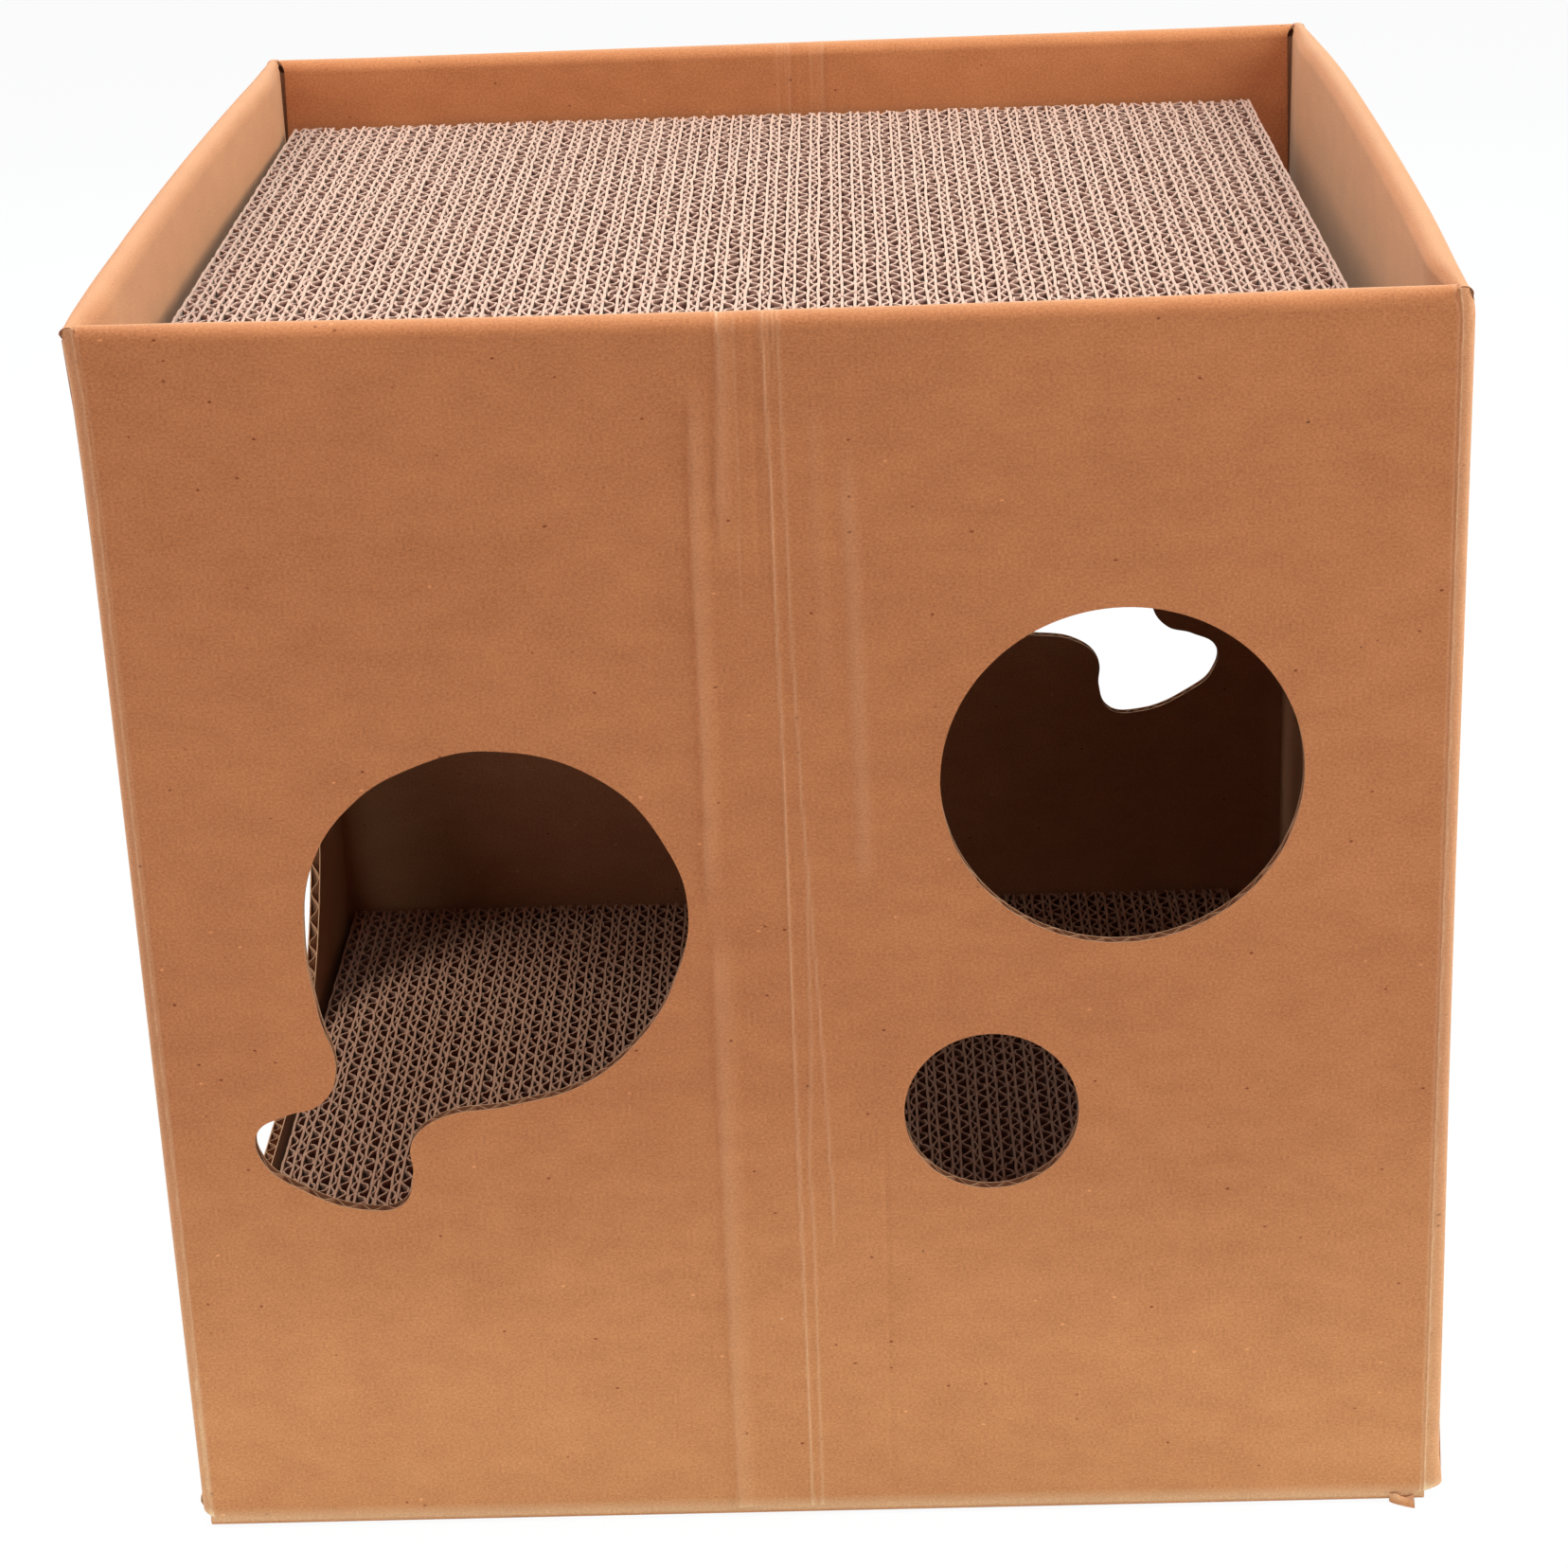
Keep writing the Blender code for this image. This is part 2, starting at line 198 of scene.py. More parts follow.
# Round holes, as place along the front, height and diameter, and the fish's outline
BIG_HOLE = (0.1002, 0.2572, 0.1084)
SMALL_HOLE = (0.0601, 0.1462, 0.054)
HOLE_FACETS = 128
FISH_OUTLINE = (
    (-0.0874, 0.2714), (-0.0540, 0.2604), (-0.0364, 0.2385), (-0.0308, 0.2182), (-0.0357, 0.1946),
    (-0.0477, 0.1744), (-0.0663, 0.1589), (-0.0890, 0.1522), (-0.1124, 0.1477), (-0.1204, 0.1398),
    (-0.1208, 0.1284), (-0.1247, 0.1183), (-0.1362, 0.1165), (-0.1581, 0.1253), (-0.1670, 0.1332),
    (-0.1686, 0.1442), (-0.1589, 0.1503), (-0.1483, 0.1538), (-0.1424, 0.1631), (-0.1461, 0.1866),
    (-0.1481, 0.2099), (-0.1442, 0.2338), (-0.1310, 0.2540), (-0.1108, 0.2666),
)
FISH_STEPS_PER_POINT = 10
BACK_HOLES_HIGHER = 0.0068
CUTTER_REACH = 0.02

# Each side of the house: its angle about +Z from the front, and how far its outer face is from the middle
SIDES = {
    "front": (0.0, HALF_DEPTH),
    "right": (math.pi / 2, HALF_WIDTH),
    "back": (math.pi, HALF_DEPTH),
    "left": (-math.pi / 2, HALF_WIDTH),
}
PIERCED_SIDES = ("front", "back")

# How far each side bulges out at the top and at the foot, and where along it the bulge is greatest. A
# greater fullness flattens the bulge's middle, and a greater rise keeps it low further up the wall.
BULGES = {
    "front": (0.0075, 0.0, 0.0),
    "right": (0.0046, 0.0004, 0.08),
    "back": (0.0004, 0.0004, 0.0),
    "left": (0.0056, 0.0004, 0.06),
}
BULGE_FULLNESS = 2.2
BULGE_RISE = 1.6

# How far the front's two upright corners lean out of square, sideways: heights and distances. The strip of
# paper round the right corner spreads towards its foot and flares at it, and the back's top is out of level.
LEFT_LEAN = (
    (0.0, -0.0013), (0.10, -0.0009), (0.25, -0.0002), (0.35, 0.0003), (0.385, 0.0012), (0.3975, 0.0022),
    (0.3995, 0.0022), (0.403, 0.0026),
)
RIGHT_LEAN = (
    (0.0, 0.0024), (0.15, 0.0014), (0.30, 0.0008), (0.385, 0.0004), (0.3975, 0.0003), (0.3995, -0.0008),
    (0.403, -0.0008),
)
LEAN_ALONG_FRONT = 0.042
LEAN_ALONG_SIDE = 0.11
STRIP_SPREAD = 0.0010
SPREAD_HEIGHT = 0.25
STRIP_FLARE = 0.0013
FLARE_HEIGHT = 0.014
BACK_RACK = 0.0009

# Creases of the front and the back, seen from outside: heights from top to bottom with the crease's place
# to the right at each, how far it is raised, how wide it is to its left and its right, and how much paler
# its paper is, from crushed fibres and, on the broad bends, a painted highlight
CREASES = (
    (((0.399, -0.0020), (0.350, -0.0011), (0.250, -0.0004), (0.100, 0.0000), (0.0, 0.0006)),
     0.00030, 0.0007, 0.0007, 0.62),
    (((0.399, 0.0026), (0.350, 0.0028), (0.300, 0.0035), (0.250, 0.0048), (0.220, 0.0062),
      (0.170, 0.0084), (0.115, 0.0102)), 0.00018, 0.0007, 0.0007, 0.48),
    (((0.215, 0.0052), (0.170, 0.0050), (0.130, 0.0032), (0.100, 0.0040), (0.0, 0.0036)),
     0.00018, 0.0008, 0.0007, 0.42),
    (((0.399, -0.0046), (0.340, -0.0052)), -0.00030, 0.0012, 0.0016, 0.0),
    (((0.366, -0.0236), (0.330, -0.0242), (0.290, -0.0242), (0.250, -0.0243), (0.235, -0.0250)),
     0.00090, 0.0009, 0.0060, 0.20),
    (((0.195, -0.0235), (0.160, -0.0238), (0.100, -0.0238), (0.0, -0.0236)), 0.00085, 0.0009, 0.0075, 0.20),
    (((0.399, -0.0148), (0.385, -0.0150), (0.350, -0.0166)), 0.00065, 0.0010, 0.0052, 0.22),
    (((0.399, -0.0098), (0.360, -0.0102), (0.330, -0.0108)), -0.00010, 0.0005, 0.0005, 0.26),
    (((0.403, -0.0149), (0.399, -0.0146)), 0.00012, 0.0004, 0.0005, 0.55),
    (((0.403, -0.0004), (0.399, -0.0002)), -0.00015, 0.0005, 0.0004, 0.50),
    (((0.403, 0.0010), (0.399, 0.0012)), 0.00012, 0.0004, 0.0004, 0.45),
    (((0.403, -0.0104), (0.399, -0.0104)), 0.00012, 0.0004, 0.0004, 0.50),
    (((0.345, 0.0205), (0.320, 0.0215), (0.240, 0.0225)), 0.00030, 0.0035, 0.0045, 0.22),
    (((0.365, 0.0115), (0.300, 0.0125)), 0.00015, 0.0030, 0.0035, 0.08),
    (((0.125, 0.0268), (0.0, 0.0264)), -0.00035, 0.0012, 0.0016, 0.0),
    (((0.399, -0.1949), (0.200, -0.1955), (0.0, -0.1967)), -0.00012, 0.0005, 0.0005, 0.36),
    (((0.399, -0.1962), (0.100, -0.1968), (0.0, -0.1977)), 0.00010, 0.0005, 0.0005, 0.45),
    (((0.399, 0.1948), (0.200, 0.1952), (0.0, 0.1951)), -0.00012, 0.0005, 0.0005, 0.45),
    (((0.399, 0.1960), (0.250, 0.1963), (0.0, 0.1961)), 0.00010, 0.0005, 0.0005, 0.55),
)
CREASE_TOP = 0.399
CREASE_FADE = 0.022
BACK_CREASE_SHARE = 0.6

# Each crease wanders by a long and a short wave, in radians to a metre, shifted from the last crease's
CREASE_WOBBLE = 0.00009
LONG_WAVE = 410.0
LONG_WAVE_SHIFT = 1.7
SHORT_WAVE = 1130.0
SHORT_WAVE_SHIFT = 2.3
SHORT_WAVE_SHARE = 0.7

# Where paper is pale, from rubbing and as a painted highlight: how much, and over what distance it fades
TOP_RUBBED_AND_HIGHLIGHT = 0.12
TOP_RUBBED_DEPTH = 0.0016
CORNER_RUBBED_AND_HIGHLIGHT = 0.28
CORNER_RUBBED_FADE = 0.0008
FOLD_RUBBED_AND_HIGHLIGHT = 0.62
FOOT_RUBBED_AND_HIGHLIGHT_HEIGHT = 0.0030
FOOT_OVERLAP = 0.0007


def smooth_step(values):
    """A soft ramp from 0 to 1, of one value or of an array."""
    clipped = np.clip(values, 0.0, 1.0)
    return clipped * clipped * (3.0 - 2.0 * clipped)


def crease_shape(along, height):
    """How far the folded panel stands out at each place, and how pale its paper is there: crushed fibres,
    and on the broad bends a painted highlight.
    """
    raised = np.zeros_like(along)
    paleness = np.zeros_like(along)
    for count, (places, lift, left, right, pale) in enumerate(CREASES):
        heights = [place[0] for place in places][::-1]
        acrosses = [place[1] for place in places][::-1]
        middle = np.interp(height, heights, acrosses)
        long_wave = np.sin(LONG_WAVE * height + LONG_WAVE_SHIFT * count)
        short_wave = np.sin(SHORT_WAVE * height + SHORT_WAVE_SHIFT * count)
        offset = along - middle - CREASE_WOBBLE * (long_wave + SHORT_WAVE_SHARE * short_wave)
        profile = smooth_step(np.where(offset < 0.0, 1.0 + offset / left, 1.0 - offset / right))
        if heights[0] > 0.0:
            profile = profile * smooth_step((height - heights[0] + CREASE_FADE) / CREASE_FADE)
        if heights[-1] < CREASE_TOP:
            profile = profile * smooth_step((heights[-1] + CREASE_FADE - height) / CREASE_FADE)
        raised += lift * profile
        paleness += pale * profile
    return raised, paleness


def side_bulge(side, along, height):
    """How far a side of the house stands out at a place."""
    at_top, at_foot, peak = BULGES[side]
    half = HALF_WIDTH if side in PIERCED_SIDES else HALF_DEPTH
    share = np.where(along < peak, (along + half) / (peak + half), (half - along) / (half - peak))
    share = 1.0 - (1.0 - np.clip(share, 0.0, 1.0)) ** BULGE_FULLNESS
    rise = np.clip(height / HOUSE_TOP, 0.0, 1.0)
    return share * (at_foot + (at_top - at_foot) * rise ** BULGE_RISE)


def lean_corners(points):
    """Lean the front's upright corners, spread the strip of paper round the right one at its foot, and
    rack the back's top: down at the left, up at the right."""
    across, depth, height = points[:, 0], points[:, 1], points[:, 2]
    near_front = smooth_step(1.0 - (depth + HALF_DEPTH) / LEAN_ALONG_SIDE)
    near_corner = smooth_step((np.abs(across) - HALF_WIDTH + LEAN_ALONG_FRONT) / LEAN_ALONG_FRONT)
    left = np.interp(height, *np.array(LEFT_LEAN).T)
    right = np.interp(height, *np.array(RIGHT_LEAN).T)
    spread = STRIP_SPREAD * smooth_step(1.0 - height / SPREAD_HEIGHT)
    spread += STRIP_FLARE * smooth_step(1.0 - (height - WALL_LOW.z) / FLARE_HEIGHT)
    on_strip = smooth_step((across - HALF_WIDTH + ROLL_END) / ROLL_END)
    shift = np.where(across < 0.0, -left, right + spread * on_strip)
    points[:, 0] += shift * near_front * near_corner
    near_back = smooth_step((depth + HALF_DEPTH) / (2 * HALF_DEPTH))
    near_top = smooth_step(2.0 * height / HOUSE_TOP - 1.0)
    points[:, 2] += BACK_RACK * across / HALF_WIDTH * near_back * near_top


def read_points(mesh):
    """A mesh's points, one row each."""
    points = np.zeros(len(mesh.vertices) * 3)
    mesh.vertices.foreach_get("co", points)
    return points.reshape(-1, 3)


def set_wear(mesh, paleness):
    """Keep how pale the paper is at each point, for its material: rubbed paper, and painted highlights."""
    wear_and_painted_light = mesh.attributes.new("wear_and_painted_light", "FLOAT", "POINT")
    wear_and_painted_light.data.foreach_set("value", paleness.astype(np.float32))


def set_paper_map(mesh, places):
    """Keep each point's place on the flat sheet, in metres, for the paper's pattern."""
    corners = np.zeros(len(mesh.loops), dtype=np.int32)
    mesh.loops.foreach_get("vertex_index", corners)
    mesh.uv_layers[0].name = "Sheet"
    mesh.uv_layers["Sheet"].data.foreach_set("uv", places[corners].ravel())


def turned_to_side(side, along, inward):
    """A place at a side, from how far it is along it and how far in from its outer face."""
    angle, face = SIDES[side]
    across = inward - face
    return (along * math.cos(angle) - across * math.sin(angle),
            along * math.sin(angle) + across * math.cos(angle))


def stand_board(sheet, side, creased):
    """Bend a sheet that was made flat to the side's bulge and creases, and stand it at that side."""
    mesh = sheet.data
    points = read_points(mesh)
    along, inward, height = points[:, 0].copy(), points[:, 1].copy(), points[:, 2]
    inward -= side_bulge(side, along, height)
    # The roll's top is pale: rubbed paper and a painted highlight.
    paleness = TOP_RUBBED_AND_HIGHLIGHT * smooth_step((height - HOUSE_TOP + TOP_RUBBED_DEPTH) / TOP_RUBBED_DEPTH)
    # The foot's fold is pale: rubbed paper and a painted highlight of the light from the floor.
    paleness += FOLD_RUBBED_AND_HIGHLIGHT * smooth_step(1.0 - (height - WALL_LOW.z) / FOOT_RUBBED_AND_HIGHLIGHT_HEIGHT)
    if creased:
        # Creases are pale from crushed fibres and, on the broad bends, a painted highlight.
        raised, crease_rubbed = crease_shape(along, height)
        share = BACK_CREASE_SHARE if side == "back" else 1.0
        inward -= share * raised
        paleness += share * crease_rubbed
        # The strips round the upright corners are pale: rubbed paper and a painted highlight.
        paleness += CORNER_RUBBED_AND_HIGHLIGHT * smooth_step((np.abs(along) - HALF_WIDTH + ROLL_END) / CORNER_RUBBED_FADE)
    points[:, 0], points[:, 1] = turned_to_side(side, along, inward)
    lean_corners(points)
    mesh.vertices.foreach_set("co", points.ravel())
    set_wear(mesh, paleness)
    mesh.update()


def section_rows(path, reach=None):
    """Rows of a board's section: place, way into the board, run along the path and share of the length.
    path is the outer face as (inward, height), with the board to the right of it."""
    path = np.array(path)
    steps = np.diff(path, axis=0)
    lengths = np.linalg.norm(steps, axis=1)
    steps = steps / lengths[:, None]
    turns = np.vstack([steps[:1], steps[:-1] + steps[1:], steps[-1:]])
    turns = turns / np.linalg.norm(turns, axis=1)[:, None]
    runs = np.concatenate([[0.0], np.cumsum(lengths)])
    rows = []
    for (inward, height), (step_in, step_up), run in zip(path, turns, runs):
        scale = reach(inward, height) if reach else 1.0
        rows.append((inward, height, step_up, -step_in, run, scale))
    return rows


def thicken(sheet, thickness, offset):
    """Give the active sheet its paper's thickness, into the board (-1) or to both sides (0)."""
    solidify = sheet.modifiers.new("Paper", "SOLIDIFY")
    solidify.thickness = thickness
    solidify.offset = offset
    bpy.ops.object.modifier_apply(modifier=solidify.name)


def add_sheet(name, columns, rows, depth, thickness, material, crush=None):
    """A sheet of paper from a grid, at its depth in the board. columns gives each column's (place along
    the side, further depth), rows comes from section_rows, and crush gives how thick the board is left."""
    bpy.ops.object.select_all(action="DESELECT")
    bpy.ops.mesh.primitive_grid_add(x_subdivisions=len(columns) - 1, y_subdivisions=len(rows) - 1, size=1.0)
    sheet = bpy.context.object
    sheet.name = name
    mesh = sheet.data
    points = read_points(mesh)
    column = np.rint((points[:, 0] + 0.5) * (len(columns) - 1)).astype(int)
    row = np.rint((points[:, 1] + 0.5) * (len(rows) - 1)).astype(int)
    along, extra = np.array(columns)[column].T
    inward, height, in_share, up_share, run, scale = np.array(rows)[row].T
    depth = depth + extra
    if crush:
        depth = np.where(depth > PAPER, PAPER + (depth - PAPER) * crush(along), depth)
    points[:, 0] = along * scale
    points[:, 1] = inward + depth * in_share
    points[:, 2] = height + depth * up_share
    mesh.vertices.foreach_set("co", points.ravel())
    set_paper_map(mesh, np.stack([along, run], axis=1))
    mesh.materials.append(material)
    thicken(sheet, thickness, -1.0)
    return sheet


# Noise in the paper: how fine it is along and across the sheet, its detail and its roughness. Each contrast
# says how far the noise darkens and lightens the colour over its usual range.
FIBRES = ((1050.0, 1450.0), 4.0, 0.78)
CLOUDS = ((55.0, 95.0), 5.0, 0.62)
DRIFT = ((9.0, 14.0), 2.0, 0.5)
TORN_FIBRES = ((900.0, 420.0), 3.0, 0.7)
NOISE_RANGE = (0.25, 0.75)
FIBRE_CONTRAST = 0.90
CLOUD_CONTRAST = 0.20
DRIFT_CONTRAST = 0.14
TORN_CONTRAST = 0.35

# Specks in the paper: cells to a metre along and across the sheet, the share of cells left without one,
# a speck's size in its cell, and how much darker or paler it is at its core
BARK_SPECKS = ((170.0, 260.0), 0.88, 0.13, -1.5)
PALE_SPECKS = ((120.0, 210.0), 0.90, 0.11, 1.2)
SPECK_CORE = 0.4
SPECK_SHIFT = 7

# The paper's darkest and palest tint as shares of its colour, and how pale it is where it is rubbed and
# where a highlight is painted: an even share of the pale colour, and more of it where the fibres are torn
DARK_TINT = (0.80, 0.73, 0.68)
PALE_TINT = (1.20, 1.27, 1.32)
RUBBED_AND_HIGHLIGHT_SHARE = 0.55
TORN_START = 0.55
TORN_END = 1.05
TORN_SHARE = 0.45
PAPER_SMOOTHEST = 0.62
PAPER_ROUGHEST = 0.80
FIBRE_HEIGHT = 0.0003


def kraft_paper(name, colour, pale_colour, bump=0.12):
    """Unbleached brown paper: short fibres along the sheet, clouds, bark specks, pale where rubbed and where
    a highlight is painted.
    """
    material = bpy.data.materials.new(name)
    material.use_nodes = True
    tree = material.node_tree
    shader = tree.nodes["Principled BSDF"]
    shader.inputs["Specular IOR Level"].default_value = 0.15
    shader.inputs["Sheen Weight"].default_value = 0.25
    shader.inputs["Sheen Roughness"].default_value = 0.5
    shader.inputs["Sheen Tint"].default_value = (1.0, 0.90, 0.66, 1.0)
    link = tree.links.new
    place = new_node(tree, "ShaderNodeUVMap", uv_map="Sheet")

    def noise(scale, detail, roughness):
        spread = new_node(tree, "ShaderNodeMapping", Scale=(*scale, 1.0))
        link(place.outputs["UV"], spread.inputs["Vector"])
        made = new_node(tree, "ShaderNodeTexNoise", Scale=1.0, Detail=detail, Roughness=roughness)
        link(spread.outputs["Vector"], made.inputs["Vector"])
        return made.outputs["Fac"]

    def scaled(value, low, high, to_low, to_high):
        ends = {"From Min": low, "From Max": high, "To Min": to_low, "To Max": to_high}
        made = new_node(tree, "ShaderNodeMapRange", **ends)
        link(value, made.inputs["Value"])
        return made.outputs["Result"]

    def combined(operation, first, second):
        made = new_node(tree, "ShaderNodeMath", operation=operation)
        for socket, value in zip(made.inputs, (first, second)):
            if isinstance(value, float):
                socket.default_value = value
            else:
                link(value, socket)
        return made.outputs[0]

    def varied(source, middle, contrast):
        return scaled(source, *NOISE_RANGE, middle - contrast, middle + contrast)

    fibres = noise(*FIBRES)
    clouds = noise(*CLOUDS)
    drift = noise(*DRIFT)
    level = combined("ADD", varied(fibres, 0.0, FIBRE_CONTRAST), varied(clouds, 0.0, CLOUD_CONTRAST))
    level = combined("ADD", level, varied(drift, 0.5, DRIFT_CONTRAST))
    for scale, bare, size, strength in (BARK_SPECKS, PALE_SPECKS):
        shift = (scale[0] / SPECK_SHIFT, 0.0, 0.0)
        spread = new_node(tree, "ShaderNodeMapping", Scale=(*scale, 1.0), Location=shift)
        link(place.outputs["UV"], spread.inputs["Vector"])
        cells = new_node(tree, "ShaderNodeTexVoronoi", Scale=1.0)
        link(spread.outputs["Vector"], cells.inputs["Vector"])
        near = scaled(cells.outputs["Distance"], size * SPECK_CORE, size, strength, 0.0)
        chance = new_node(tree, "ShaderNodeSeparateColor")
        link(cells.outputs["Color"], chance.inputs["Color"])
        few = combined("GREATER_THAN", chance.outputs["Red"], bare)
        level = combined("ADD", level, combined("MULTIPLY", near, few))

    tint = new_node(tree, "ShaderNodeMix", data_type="RGBA", clamp_factor=False)
    tint.inputs["A"].default_value = (*(part * share for part, share in zip(colour, DARK_TINT)), 1.0)
    tint.inputs["B"].default_value = (*(part * share for part, share in zip(colour, PALE_TINT)), 1.0)
    link(combined("MAXIMUM", level, -1.0), tint.inputs["Factor"])
    # The attribute marks rubbed paper and painted highlights alike.
    wear_and_painted_light = new_node(tree, "ShaderNodeAttribute", attribute_name="wear_and_painted_light", attribute_type="GEOMETRY")
    paleness = new_node(tree, "ShaderNodeMix", data_type="RGBA", clamp_factor=False)
    torn = varied(noise(*TORN_FIBRES), 0.0, TORN_CONTRAST)
    torn = scaled(combined("ADD", wear_and_painted_light.outputs["Fac"], torn), TORN_START, TORN_END, 0.0, TORN_SHARE)
    even = combined("MULTIPLY", wear_and_painted_light.outputs["Fac"], RUBBED_AND_HIGHLIGHT_SHARE)
    link(combined("ADD", even, torn), paleness.inputs["Factor"])
    link(tint.outputs["Result"], paleness.inputs["A"])
    paleness.inputs["B"].default_value = (*pale_colour, 1.0)
    link(paleness.outputs["Result"], shader.inputs["Base Color"])

    grain = new_node(tree, "ShaderNodeBump", Strength=bump, Distance=FIBRE_HEIGHT)
    link(fibres, grain.inputs["Height"])
    link(grain.outputs["Normal"], shader.inputs["Normal"])
    link(scaled(fibres, 0.0, 1.0, PAPER_SMOOTHEST, PAPER_ROUGHEST), shader.inputs["Roughness"])
    return material


KRAFT = (0.445, 0.149, 0.053)
# The inside paper is darker than the outer: partly a darker liner, partly painted shade of the house's
# inside.
KRAFT_INSIDE_PAINTED_SHADE = (0.33, 0.128, 0.058)
KRAFT_FLUTES = (0.38, 0.15, 0.07)
KRAFT_RUBBED_AND_HIGHLIGHT = (0.66, 0.38, 0.22)
KRAFT_CUT = (0.50, 0.25, 0.13)
BARK = (0.12, 0.035, 0.015)
outer_paper = kraft_paper("kraft_outer_paper", KRAFT, KRAFT_RUBBED_AND_HIGHLIGHT)
# The inner liners take the darker paper, partly as painted shade of the inside.
inner_paper_painted_shade = kraft_paper("kraft_inner_paper", KRAFT_INSIDE_PAINTED_SHADE, KRAFT_RUBBED_AND_HIGHLIGHT)
flute_paper = kraft_paper("kraft_flute_paper", KRAFT_FLUTES, KRAFT_RUBBED_AND_HIGHLIGHT)
cut_edge = kraft_paper("kraft_cut_edge", KRAFT_CUT, KRAFT_RUBBED_AND_HIGHLIGHT)


def straight_columns(low, high, step):
    """Even places along a side, in the board's outer face."""
    return [(place, 0.0) for place in np.linspace(low, high, max(2, int(round((high - low) / step)) + 1))]


def creased_columns(low, high):
    """Places along the front or the back, close together at the creases and near the corners."""
    middle = np.linspace(-CREASE_REACH, CREASE_REACH, int(2 * CREASE_REACH / CREASE_STEP) + 1)
    flat_end = high - CORNER_CRACK_REACH
    flat = np.linspace(CREASE_REACH, flat_end, int((flat_end - CREASE_REACH) / FACE_STEP) + 1)
    corner = np.linspace(flat_end, high, int(CORNER_CRACK_REACH / CORNER_CRACK_STEP) + 1)
    right = (*flat[1:], *corner[1:])
    left = tuple(-place for place in right[::-1])
    return [(place, 0.0) for place in (*left, *middle, *right)]


def flute_columns(low, high):
    """A fluted sheet's places along a side: a wave between the two papers."""
    swing = (BOARD - 2 * PAPER - FLUTE_PAPER) / 2
    places = np.linspace(low, high, int((high - low) / FLUTE_PITCH * FLUTE_STEPS) + 1)
    return [(place, swing + swing * math.sin(2 * math.pi * place / FLUTE_PITCH)) for place in places]


def corner_columns(half, radius, steps=6):
    """The outer paper's way round the right corner, from the face to the next side's face."""
    turns = [step / steps * math.pi / 2 for step in range(1, steps + 1)]
    places = [(half - radius + radius * math.sin(turn), radius - radius * math.cos(turn)) for turn in turns]
    return places + [(half, BOARD)]


def wall_path(bottom, top, count, inward=0.0):
    """Even heights up a wall's outer face."""
    return [(inward, height) for height in np.linspace(bottom, top, count)]


def close_die(die):
    """Merge a die's doubled points, face it outwards and give it the raw paper of a cut."""
    bpy.ops.object.mode_set(mode="EDIT")
    bpy.ops.mesh.select_all(action="SELECT")
    bpy.ops.mesh.remove_doubles(threshold=MERGE_DISTANCE)
    bpy.ops.mesh.normals_make_consistent(inside=False)
    bpy.ops.object.mode_set(mode="OBJECT")
    die.data.materials.append(cut_edge)


def hole_cutters():
    """The die for the front and the back: two round plugs and a fish, in one mesh."""
    plugs = []
    for along, up, diameter in (BIG_HOLE, SMALL_HOLE):
        bpy.ops.mesh.primitive_cylinder_add(
            vertices=HOLE_FACETS, radius=diameter / 2, depth=2 * CUTTER_REACH,
            location=(along, 0.0, up), rotation=(math.pi / 2, 0.0, 0.0),
        )
        plugs.append(bpy.context.object)
    outline = bpy.data.curves.new("fish", "CURVE")
    outline.dimensions = "2D"
    outline.fill_mode = "BOTH"
    outline.extrude = CUTTER_REACH
    outline.resolution_u = FISH_STEPS_PER_POINT
    spline = outline.splines.new("BEZIER")
    spline.bezier_points.add(len(FISH_OUTLINE) - 1)
    for point, place in zip(spline.bezier_points, FISH_OUTLINE):
        point.co = (*place, 0.0)
        point.handle_left_type = "AUTO"
        point.handle_right_type = "AUTO"
    spline.use_cyclic_u = True
    fish = bpy.data.objects.new("fish", outline)
    bpy.context.scene.collection.objects.link(fish)
    fish.rotation_euler = (math.pi / 2, 0.0, 0.0)
    bpy.ops.object.select_all(action="DESELECT")
    fish.select_set(True)
    bpy.context.view_layer.objects.active = fish
    bpy.ops.object.convert(target="MESH")
    for plug in plugs:
        plug.select_set(True)
    bpy.ops.object.join()
    die = bpy.context.object
    bpy.ops.object.transform_apply(location=True, rotation=True, scale=True)
    close_die(die)
    return die


def cut_sheet(sheet, die):
    """Cut the die's holes through a sheet; the cut faces take the die's raw paper."""
    bpy.ops.object.select_all(action="DESELECT")
    sheet.select_set(True)
    bpy.context.view_layer.objects.active = sheet
    cut = sheet.modifiers.new("Die cut", "BOOLEAN")
    cut.operation = "DIFFERENCE"
    cut.solver = "EXACT"
    cut.material_mode = "TRANSFER"
    cut.object = die
    bpy.ops.object.modifier_apply(modifier=cut.name)


def join_sheets(name, sheets):
    """Join sheets into one piece."""
    bpy.ops.object.select_all(action="DESELECT")
    for sheet in sheets:
        sheet.select_set(True)
    bpy.context.view_layer.objects.active = sheets[0]
    bpy.ops.object.join()
    joined = bpy.context.object
    joined.name = name
    joined.data.name = name
    return joined


def join_board(name, sheets, node, body="house_shell"):
    """Glue the papers into one board, shade it, and let it stand for its CAD node."""
    board = join_sheets(name, sheets)
    bpy.ops.object.shade_smooth_by_angle(angle=SMOOTH_ANGLE)
    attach(board, body)
    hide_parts(node)


